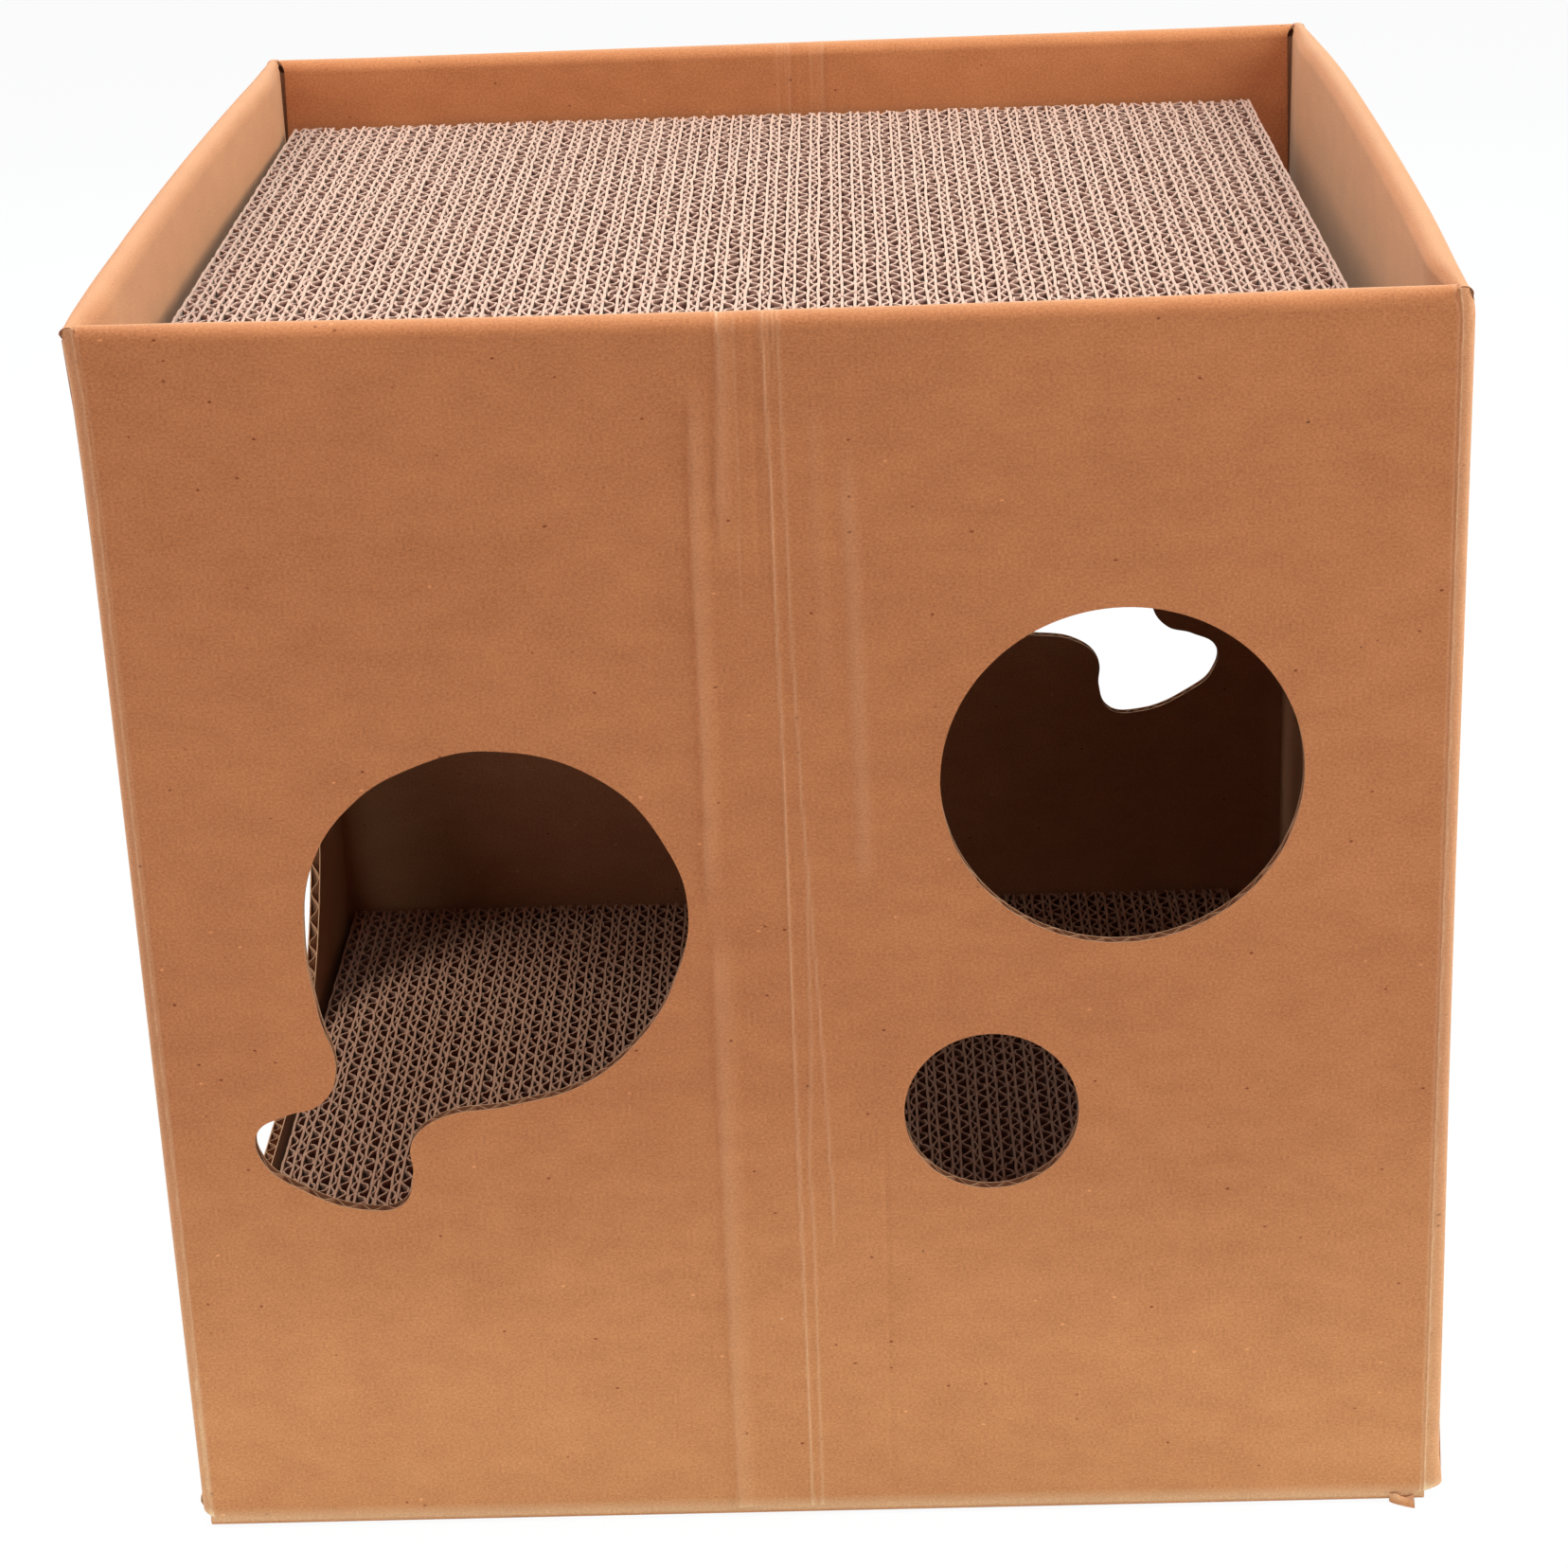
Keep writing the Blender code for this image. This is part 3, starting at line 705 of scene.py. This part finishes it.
def trim_corners(outer):
    """Draw the outer paper's corners up in front of the side rolls' ends, and nick them at the foot."""
    for vertex in outer.data.vertices:
        from_end = HALF_WIDTH - abs(vertex.co.x)
        on_face = 1.0 - smooth_step((vertex.co.y - FACE_DEPTH) / FACE_SOFTNESS)
        at_corner = smooth_step((ROLL_END + CORNER_OVERLAP - from_end) / CORNER_SOFTNESS)
        near_top = smooth_step((vertex.co.z - ROLL_START + CORNER_RISE_HEIGHT) / CORNER_RISE_HEIGHT)
        vertex.co.z += CORNER_RISE * on_face * at_corner * near_top
        near_foot = smooth_step((WALL_LOW.z + FOOT_NICK_HEIGHT - vertex.co.z) / FOOT_NICK_HEIGHT)
        vertex.co.z += FOOT_NICK * max(0.0, 1.0 - from_end / ROLL_END) * near_foot


# Each fleck is a thin chip with a wavy outline: its waves in radians, and how far they go in and out
FLECK_THICKNESS = 0.0003
FLECK_RAGGED = 0.35
FLECK_WAVE_ALONG = 9.0
FLECK_WAVE_UP = 14.0


def add_fleck(name, place, length, height, material):
    """A bark chip or a pale bit of fibre that lies in the outer paper of the front."""
    bpy.ops.object.select_all(action="DESELECT")
    bpy.ops.mesh.primitive_ico_sphere_add(subdivisions=2, radius=0.5)
    fleck = bpy.context.object
    fleck.name = name
    along, up = place
    raised = crease_shape(np.array([along]), np.array([up]))[0][0]
    out = HALF_DEPTH + side_bulge("front", along, up) + raised
    for vertex in fleck.data.vertices:
        wave = FLECK_WAVE_ALONG * vertex.co.x + FLECK_WAVE_UP * vertex.co.z
        ragged = 1.0 + FLECK_RAGGED * math.sin(wave)
        vertex.co = (along + length * vertex.co.x * ragged, FLECK_THICKNESS * vertex.co.y - out,
                     up + height * vertex.co.z * ragged)
    fleck.data.uv_layers[0].name = "Sheet"
    fleck.data.materials.append(material)
    return fleck


def make_pierced_wall(name, side, node):
    """The front or the back: three papers, die-cut together, with the outer one round the corners."""
    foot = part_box(node)[0].z
    corner = corner_columns(HALF_WIDTH, CORNER_RADIUS)
    face_end = HALF_WIDTH - CORNER_RADIUS
    other_corner = [(-along, depth) for along, depth in corner[::-1]]
    wrapped = other_corner + creased_columns(-face_end, face_end) + corner
    outer_rows = section_rows(wall_path(foot - FOOT_OVERLAP, ROLL_START, FACE_ROWS))
    inner_rows = section_rows(wall_path(foot, ROLL_START, PLAIN_ROWS))
    outer = add_sheet(name + "_outer", wrapped, outer_rows, 0.0, PAPER, outer_paper)
    flutes = add_sheet(
        name + "_flutes", flute_columns(-face_end, face_end), inner_rows, PAPER, FLUTE_PAPER, flute_paper
    )
    inner = add_sheet(
        name + "_inner", creased_columns(-HALF_WIDTH + PAPER, HALF_WIDTH - PAPER), inner_rows,
        BOARD - PAPER, PAPER, inner_paper_painted_shade,
    )
    trim_corners(outer)
    die = hole_cutters()
    if side == "back":
        for vertex in die.data.vertices:
            vertex.co.z += BACK_HOLES_HIGHER
    for sheet in (outer, flutes, inner):
        cut_sheet(sheet, die)
        stand_board(sheet, side, True)
    bpy.data.objects.remove(die, do_unlink=True)
    flecks = []
    if side == "front":
        for count, (place, length, height, material) in enumerate(FLECKS):
            flecks.append(add_fleck(name + "_fleck_" + str(count), place, length, height, material))
    join_board(name, [outer, flutes, inner, *flecks], node)


# The front's flecks: each one's place, length, height and paper
bark = kraft_paper("bark_fleck", BARK, KRAFT)
FLECKS = (
    ((0.1528, 0.3655), 0.0011, 0.0005, bark),
    ((0.0380, 0.0972), 0.0007, 0.0008, bark),
    ((-0.0075, 0.0737), 0.0012, 0.0006, cut_edge),
    ((0.1700, 0.2960), 0.0006, 0.0005, bark),
    ((-0.1502, 0.0640), 0.0008, 0.0004, bark),
)
make_pierced_wall("front_wall_board", "front", "front_wall")

# Back wall: the same panel of corrugated board again, die-cut with the same three holes and creased down
# its middle. It is the sleeve's other broad side, so its outer paper runs round the two rear corners.
make_pierced_wall("back_wall_board", "back", "back_wall")

# Left and right walls: plain board between the front and the back, bulging a little. The left one has a
# low, wide entrance with four large round corners, whose sill is level with the floor pad.
ENTRANCE_WIDTH = 0.304
ENTRANCE_HEIGHT = 0.222
ENTRANCE_CORNER = 0.107
ENTRANCE_STEPS = 24
ENTRANCE_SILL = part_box("floor_scratch_pad")[1].z


def entrance_cutter():
    """The die for the entrance: a plug with four large round corners."""
    bpy.ops.object.select_all(action="DESELECT")
    bpy.ops.mesh.primitive_plane_add(size=1.0, location=(0.0, 0.0, 0.0))
    die = bpy.context.object
    for vertex in die.data.vertices:
        vertex.co.x *= ENTRANCE_WIDTH
        vertex.co.y *= ENTRANCE_HEIGHT
    bpy.ops.object.mode_set(mode="EDIT")
    bpy.ops.mesh.select_all(action="SELECT")
    bpy.ops.mesh.bevel(offset=ENTRANCE_CORNER, segments=ENTRANCE_STEPS, affect="VERTICES")
    bpy.ops.mesh.select_all(action="SELECT")
    bpy.ops.mesh.extrude_region_move(TRANSFORM_OT_translate={"value": (0.0, 0.0, 2 * CUTTER_REACH)})
    bpy.ops.object.mode_set(mode="OBJECT")
    middle = ENTRANCE_SILL + ENTRANCE_HEIGHT / 2
    for vertex in die.data.vertices:
        vertex.co = (vertex.co.x, CUTTER_REACH - vertex.co.z, middle + vertex.co.y)
    close_die(die)
    return die


def board_sheets(name, path, low, high, reach=None, trim=0, step=FACE_STEP, creased=False, crush=None):
    """The three papers of a board along a path, from low to high along its side. The flutes and the
    inner paper leave out the path's last points, where a fold has crushed them."""
    columns = creased_columns(low, high) if creased else straight_columns(low, high, step)
    long_rows = section_rows(path, reach)
    short_rows = section_rows(path[:len(path) - trim], reach)
    return [
        add_sheet(name + "_outer", columns, long_rows, 0.0, PAPER, outer_paper, crush),
        add_sheet(
            name + "_flutes", flute_columns(low, high), short_rows, PAPER, FLUTE_PAPER, flute_paper, crush
        ),
        add_sheet(name + "_inner", columns, short_rows, BOARD - PAPER, PAPER, inner_paper_painted_shade, crush),
    ]


for side in ("left", "right"):
    node = side + "_wall"
    half = HALF_DEPTH - BOARD
    path = wall_path(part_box(node)[0].z, ROLL_START, PLAIN_ROWS)
    sheets = board_sheets(node + "_board", path, -half, half)
    if side == "left":
        die = entrance_cutter()
        for sheet in sheets:
            cut_sheet(sheet, die)
        bpy.data.objects.remove(die, do_unlink=True)
    for sheet in sheets:
        stand_board(sheet, side, False)
    join_board(node + "_board", sheets, node)

# Glue tab: the right wall's front edge, folded back behind the front wall and glued there to close the
# sleeve. It is the same board, with its flutes up and down.
TAB_LOW, TAB_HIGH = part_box("corner_glue_tab")
tab_path = wall_path(TAB_LOW.z, TAB_HIGH.z, PLAIN_ROWS, HALF_DEPTH + TAB_LOW.y)
tab_sheets = board_sheets("glue_tab_board", tab_path, TAB_LOW.x, TAB_HIGH.x)
for sheet in tab_sheets:
    stand_board(sheet, "front", False)
join_board("glue_tab_board", tab_sheets, "corner_glue_tab")

# Rim: each wall's top is rolled over inward, and its end goes down as an inner layer behind the pad. The
# side rolls run through to the corners, and the front and back rolls end against them. The rolls are
# pressed thinner at their ends, and a slit that narrows downwards is left at each corner.
ROLL_STEPS = 16
INNER_LAYER_ROWS = 5
PINCH_AT_END = 0.62
PINCH_LENGTH = 0.045
CRUSH_AT_END = 0.24
CRUSH_LENGTH = 0.016
RIM_STEP = 0.005
INNER_LAYER_SHARE = 0.9
CORNER_SLIT = 0.0030
CORNER_SLIT_AT_FOOT = 0.0001
ROLL_SETBACK = 0.0007
TUCK_AT_END = 0.45
TUCK_LENGTH = 0.0036


def rim_path(bottom):
    """Up and over the roll, and down the inner layer."""
    places = []
    for step in range(ROLL_STEPS + 1):
        turn = math.pi * step / ROLL_STEPS
        places.append((RIM_RADIUS - RIM_RADIUS * math.cos(turn), ROLL_START + RIM_RADIUS * math.sin(turn)))
    for step in range(1, INNER_LAYER_ROWS + 1):
        places.append((RIM_THICKNESS, ROLL_START + (bottom - ROLL_START) * step / INNER_LAYER_ROWS))
    return places


def pinch_rim(sheet, half):
    """Press the roll thinner towards its ends, and tuck up the last of its outer edge."""
    for vertex in sheet.data.vertices:
        tuck = 1.0 - smooth_step((half - ROLL_SETBACK - abs(vertex.co.x)) / TUCK_LENGTH)
        if vertex.co.y < RIM_RADIUS:
            vertex.co.z = HOUSE_TOP - (HOUSE_TOP - vertex.co.z) * (1.0 - (1.0 - TUCK_AT_END) * tuck)
        share = smooth_step((half - abs(vertex.co.x)) / PINCH_LENGTH)
        vertex.co.y *= PINCH_AT_END + (1.0 - PINCH_AT_END) * share


def rim_reach(half, through, bottom):
    """How much of the side's length a row of the rim has, from its inward distance and its height."""
    def reach(inward, height):
        slit = CORNER_SLIT / 2 * (height - bottom) / (HOUSE_TOP - bottom) + CORNER_SLIT_AT_FOOT
        inner_end = inward * PINCH_AT_END + slit
        if inward > RIM_THICKNESS * INNER_LAYER_SHARE:
            return (half - inner_end) / half
        return (half - (ROLL_SETBACK if through else max(inner_end, ROLL_END))) / half
    return reach


def rim_crush(half):
    """How thick the board of a roll is left along its side."""
    def crush(along):
        share = smooth_step((half - np.abs(along)) / CRUSH_LENGTH)
        return CRUSH_AT_END + (1.0 - CRUSH_AT_END) * share
    return crush


for side in SIDES:
    node = side + "_rim_flap"
    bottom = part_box(node)[0].z
    creased = side in PIERCED_SIDES
    half = HALF_WIDTH if creased else HALF_DEPTH
    reach = rim_reach(half, not creased, bottom)
    sheets = board_sheets(
        node + "_board", rim_path(bottom), -half, half, reach, step=RIM_STEP, creased=creased,
        crush=rim_crush(half),
    )
    for sheet in sheets:
        pinch_rim(sheet, half)
        stand_board(sheet, side, creased)
    join_board(node + "_board", sheets, node)

# Bottom and shelf flaps: the ends of the folded sheet, below the walls and below the rim's inner layers.
# Each is board whose outer paper runs round its fold; the flutes run from the fold to the free edge.
FOLD_RADIUS = 0.0026
FOLD_STEPS = 6
FOLD_SETBACK = 0.0002
FLAP_ROWS = 8
FOLD_BULGE_REACH = 0.03
FOLD_LINE_HEIGHT = 0.0014
FOLD_LINE_SOFTNESS = 0.0008
FRONT_FLAP_SHORT = 0.0024

# The torn curl at the front flap's right end: its reach, its taper, its wave, how far it keeps off the
# floor, and its section from the flap to its tip
CURL_LEFT = 0.1872
CURL_RIGHT = 0.1948
CURL_COLUMNS = 13
CURL_START = 0.05
CURL_TAPER = 0.7
CURL_WAVE = 0.20
CURL_WAVE_TURN = 6.0
CURL_WAVE_FROM = 0.6
CURL_LIFT = 0.0002
CURL_PATH = (
    (0.0002, 0.0020), (-0.0010, 0.0030), (-0.0026, 0.0033), (-0.0040, 0.0024), (-0.0046, 0.0010),
    (-0.0042, 0.0003),
)


def flap_path(fold, far, bottom, top):
    """Back along the underside to the fold, and up round it."""
    places = [(inward, bottom) for inward in np.linspace(far, fold + FOLD_RADIUS, FLAP_ROWS)]
    for step in range(1, FOLD_STEPS + 1):
        turn = math.pi / 2 * step / FOLD_STEPS
        places.append((fold + FOLD_RADIUS - FOLD_RADIUS * math.sin(turn),
                       bottom + FOLD_RADIUS - FOLD_RADIUS * math.cos(turn)))
    places.append((fold + FOLD_SETBACK, top))
    return places


def place_flap(sheet, side, fold, stands_out):
    """Make the upper part of a flap's fold pale, as rubbed paper and a painted highlight, let it stand out
    as far as the wall's foot above it, and turn the flap from the front, where it was made, to its side."""
    mesh = sheet.data
    points = read_points(mesh)
    along, inward, height = points[:, 0].copy(), points[:, 1].copy(), points[:, 2]
    # The fold's pale band is rubbed paper and a painted highlight of the light from the floor.
    set_wear(mesh, FOLD_RUBBED_AND_HIGHLIGHT * smooth_step((height - FOLD_LINE_HEIGHT) / FOLD_LINE_SOFTNESS))
    if stands_out:
        inward -= smooth_step(1.0 - (inward - fold) / FOLD_BULGE_REACH) * side_bulge(side, along, 0.0)
    points[:, 0], points[:, 1] = turned_to_side(side, along, inward)
    mesh.vertices.foreach_set("co", points.ravel())


def torn_curl(name):
    """A bit of the outer paper, torn off the front flap's right end and curled up on the floor."""
    columns = [(place, 0.0) for place in np.linspace(CURL_LEFT, CURL_RIGHT, CURL_COLUMNS)]
    curl = add_sheet(name, columns, section_rows(CURL_PATH), 0.0, PAPER, outer_paper)
    for vertex in curl.data.vertices:
        share = max(0.0, (vertex.co.x - CURL_LEFT) / (CURL_RIGHT - CURL_LEFT))
        vertex.co.y *= CURL_START + (1.0 - CURL_START) * share ** CURL_TAPER
        wave = 1.0 - CURL_WAVE + CURL_WAVE * math.sin(CURL_WAVE_TURN * share + CURL_WAVE_FROM)
        vertex.co.z = max(CURL_LIFT, vertex.co.z * wave)
    return curl


FLAP_BODIES = {
    "front_bottom_flap": "front_outer_flap",
    "back_bottom_flap": "back_outer_flap",
    "left_shelf_flap": "left_shelf",
    "right_shelf_flap": "right_shelf",
}
for level in ("bottom", "shelf"):
    for side, (_, face) in SIDES.items():
        node = side + "_" + level + "_flap"
        low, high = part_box(node)
        inward_axis = 1 if side in PIERCED_SIDES else 0
        half = high[1 - inward_axis]
        free_edge, folded_edge = sorted((abs(low[inward_axis]), abs(high[inward_axis])))
        fold = face - folded_edge
        path = flap_path(fold, face - free_edge, low.z, high.z)
        short = FRONT_FLAP_SHORT if node == "front_bottom_flap" else 0.0
        sheets = board_sheets(node + "_board", path, -half + short, half, trim=FOLD_STEPS + 1)
        if node == "front_bottom_flap":
            sheets.append(torn_curl(node + "_curl"))
        for sheet in sheets:
            place_flap(sheet, side, fold, level == "bottom")
        join_board(node + "_board", sheets, node, FLAP_BODIES.get(node, "house_shell"))

# Scratch pads: strips of double-wall board set on edge and glued face to face, so that their open flutes
# face up. Each strip has a wide and a narrow layer of flutes between three papers; the cut edges are raw
# and frayed. One pad lies on the floor of the room and one on the shelf flaps under the rim.
STRIP_PITCH = 0.0075
WIDE_SHARE = 0.59
WIDE_PITCH = 0.0097
NARROW_PITCH = 0.0088
PAD_PAPER = 0.0009
PAD_FLUTE_PAPER = 0.0007
PAD_FLUTE_STEPS = 7
FLUTE_SHARPNESS = 1.7
FLUTE_OVERLAP = 0.0001
PAD_LINER_STEP = 0.0040
EDGE_DEPTH = 0.0018
OUTER_FACE_RUBBED = 0.62
LINE_POINTS = 400
PAD_SEED = 11

# Random walks along the pad, each as points from knot to knot and size: the liners' long and short waver
# in metres, how the flutes' spacing drifts in radians, and how much lower some flutes are as a share
LINER_WAVER = (14, 0.00018)
LINER_RIPPLE = (4, 0.00006)
FLUTE_DRIFT = (20, 0.45)
FLUTE_SLACK = (5, 0.08)

# How ragged and how bent the cut edges are, in metres
LINER_RAGGED = 0.00030
LINER_LEAN = 0.00010
FLUTE_RAGGED = 0.00045
FLUTE_LEAN = 0.00012

# Raw pale pinkish fibres at the cut edges, and plain brown paper deeper in the flutes. The pads' two side
# faces are rubbed too, though less.
PAD_BROWN = (0.175, 0.056, 0.037)
PAD_RAW = (0.53, 0.305, 0.235)
# The floor pad's paper is darker and redder than the top pad's: painted shade of the room.
FLOOR_PAD_SHADED_BROWN = (0.145, 0.045, 0.028)
FLOOR_PAD_SHADED_RAW = (0.42, 0.215, 0.14)
PAD_BUMP = 0.3

top_low, top_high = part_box("top_scratch_pad")
PAD_HEIGHT = top_high.z - top_low.z
PAD_DEPTH = top_high.y - top_low.y
PAD_WIDTH = top_high.x - top_low.x
STRIP_COUNT = int(round(PAD_WIDTH / STRIP_PITCH))
LINE_PLACES = np.linspace(-PAD_DEPTH / 2, PAD_DEPTH / 2, LINE_POINTS)
pad_random = np.random.default_rng(PAD_SEED)
pad_board = kraft_paper("pad_paper", PAD_BROWN, PAD_RAW, PAD_BUMP)
floor_pad_shaded_board = kraft_paper("floor_pad_shaded_paper", FLOOR_PAD_SHADED_BROWN, FLOOR_PAD_SHADED_RAW, PAD_BUMP)


def wander(count, spacing, size):
    """A smooth random walk along a pad: count values, at random every spacing values, up to about size."""
    knots = pad_random.normal(0.0, size, int(count / spacing) + 4)
    return np.interp(np.arange(count) / spacing, np.arange(len(knots)), knots)


liner_lines = []
for strip in range(STRIP_COUNT):
    for share in (0.0, WIDE_SHARE):
        across = (strip + share) * STRIP_PITCH
        liner_lines.append(across + wander(LINE_POINTS, *LINER_WAVER) + wander(LINE_POINTS, *LINER_RIPPLE))
liner_lines.append(np.full(LINE_POINTS, STRIP_COUNT * STRIP_PITCH))
liner_lines[0] = np.maximum(liner_lines[0], PAD_PAPER / 2)
liner_lines[-1] = liner_lines[-1] - PAD_PAPER / 2


def standing_sheet(places, line, height_noise, lean, face_rubbed=0.0):
    """A strip of paper on edge: places along the pad, its line across the pad at each, how ragged and how
    bent its cut edge is, and how rubbed its faces are."""
    bpy.ops.mesh.primitive_grid_add(x_subdivisions=len(places) - 1, y_subdivisions=2, size=1.0)
    sheet = bpy.context.object
    mesh = sheet.data
    points = read_points(mesh)
    column = np.rint((points[:, 0] + 0.5) * (len(places) - 1)).astype(int)
    row = np.rint((points[:, 1] + 0.5) * 2).astype(int)
    levels = np.array((0.0, PAD_HEIGHT - EDGE_DEPTH, PAD_HEIGHT))[row]
    at_edge = row == 2
    points[:, 0] = line[column] + np.where(at_edge, lean[column], 0.0)
    points[:, 1] = places[column]
    points[:, 2] = levels - np.where(at_edge, height_noise[column], 0.0)
    mesh.vertices.foreach_set("co", points.ravel())
    set_paper_map(mesh, np.stack([places[column], levels], axis=1))
    set_wear(mesh, np.where(at_edge, 1.0, face_rubbed))
    mesh.materials.append(pad_board)
    return sheet


def join_pad_papers(name, sheets, thickness):
    """Join a pad's like papers into one piece, and give them their thickness."""
    papers = join_sheets(name, sheets)
    thicken(papers, thickness, 0.0)
    return papers


def fluted_sheets(first_liner, pitch):
    """The fluted papers of one layer, one in each strip, each between its two liners."""
    sheets = []
    count = int(PAD_DEPTH / pitch * PAD_FLUTE_STEPS)
    places = np.linspace(-PAD_DEPTH / 2, PAD_DEPTH / 2, count)
    inset = (PAD_PAPER + PAD_FLUTE_PAPER) / 2 - FLUTE_OVERLAP
    for strip in range(STRIP_COUNT):
        near = np.interp(places, LINE_PLACES, liner_lines[2 * strip + first_liner]) + inset
        far = np.interp(places, LINE_PLACES, liner_lines[2 * strip + first_liner + 1]) - inset
        turn = 2 * np.pi * places / pitch + pad_random.uniform(0.0, 2 * np.pi) + wander(count, *FLUTE_DRIFT)
        wave = np.tanh(FLUTE_SHARPNESS * np.sin(turn)) / math.tanh(FLUTE_SHARPNESS)
        share = 0.5 + 0.5 * wave * (1.0 - np.abs(wander(count, *FLUTE_SLACK)))
        line = near + (far - near) * np.clip(share, 0.0, 1.0)
        ragged = np.abs(pad_random.normal(0.0, FLUTE_RAGGED, count))
        lean = pad_random.normal(0.0, FLUTE_LEAN, count)
        sheets.append(standing_sheet(places, line, ragged, lean))
    return sheets


def liner_sheets():
    """All the flat papers of a pad; the first and the last are its two side faces."""
    sheets = []
    places = np.linspace(-PAD_DEPTH / 2, PAD_DEPTH / 2, int(round(PAD_DEPTH / PAD_LINER_STEP)) + 1)
    for count, line in enumerate(liner_lines):
        face_rubbed = OUTER_FACE_RUBBED if count in (0, len(liner_lines) - 1) else 0.0
        here = np.interp(places, LINE_PLACES, line)
        ragged = np.abs(pad_random.normal(0.0, LINER_RAGGED, len(places)))
        lean = pad_random.normal(0.0, LINER_LEAN, len(places))
        sheets.append(standing_sheet(places, here, ragged, lean, face_rubbed))
    return sheets


pad_pieces = {
    "papers": join_pad_papers("pad_papers", liner_sheets(), PAD_PAPER),
    "wide_flutes": join_pad_papers("pad_wide_flutes", fluted_sheets(0, WIDE_PITCH), PAD_FLUTE_PAPER),
    "narrow_flutes": join_pad_papers("pad_narrow_flutes", fluted_sheets(1, NARROW_PITCH), PAD_FLUTE_PAPER),
}
for body, node in (("top_pad", "top_scratch_pad"), ("floor_pad", "floor_scratch_pad")):
    low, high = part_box(node)
    corner = Vector((low.x, (low.y + high.y) / 2, low.z))
    for part, pattern in pad_pieces.items():
        papers = bpy.data.objects.new(body + "_" + part, pattern.data.copy())
        papers.data.name = papers.name
        # The floor pad takes the darker paper, a painted shade of the room.
        if node == "floor_scratch_pad":
            papers.data.materials[0] = floor_pad_shaded_board
        bpy.context.scene.collection.objects.link(papers)
        for vertex in papers.data.vertices:
            vertex.co += corner
        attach(papers, body)
        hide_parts(node)
for pattern in pad_pieces.values():
    bpy.data.objects.remove(pattern, do_unlink=True)

bpy.ops.object.select_all(action="DESELECT")
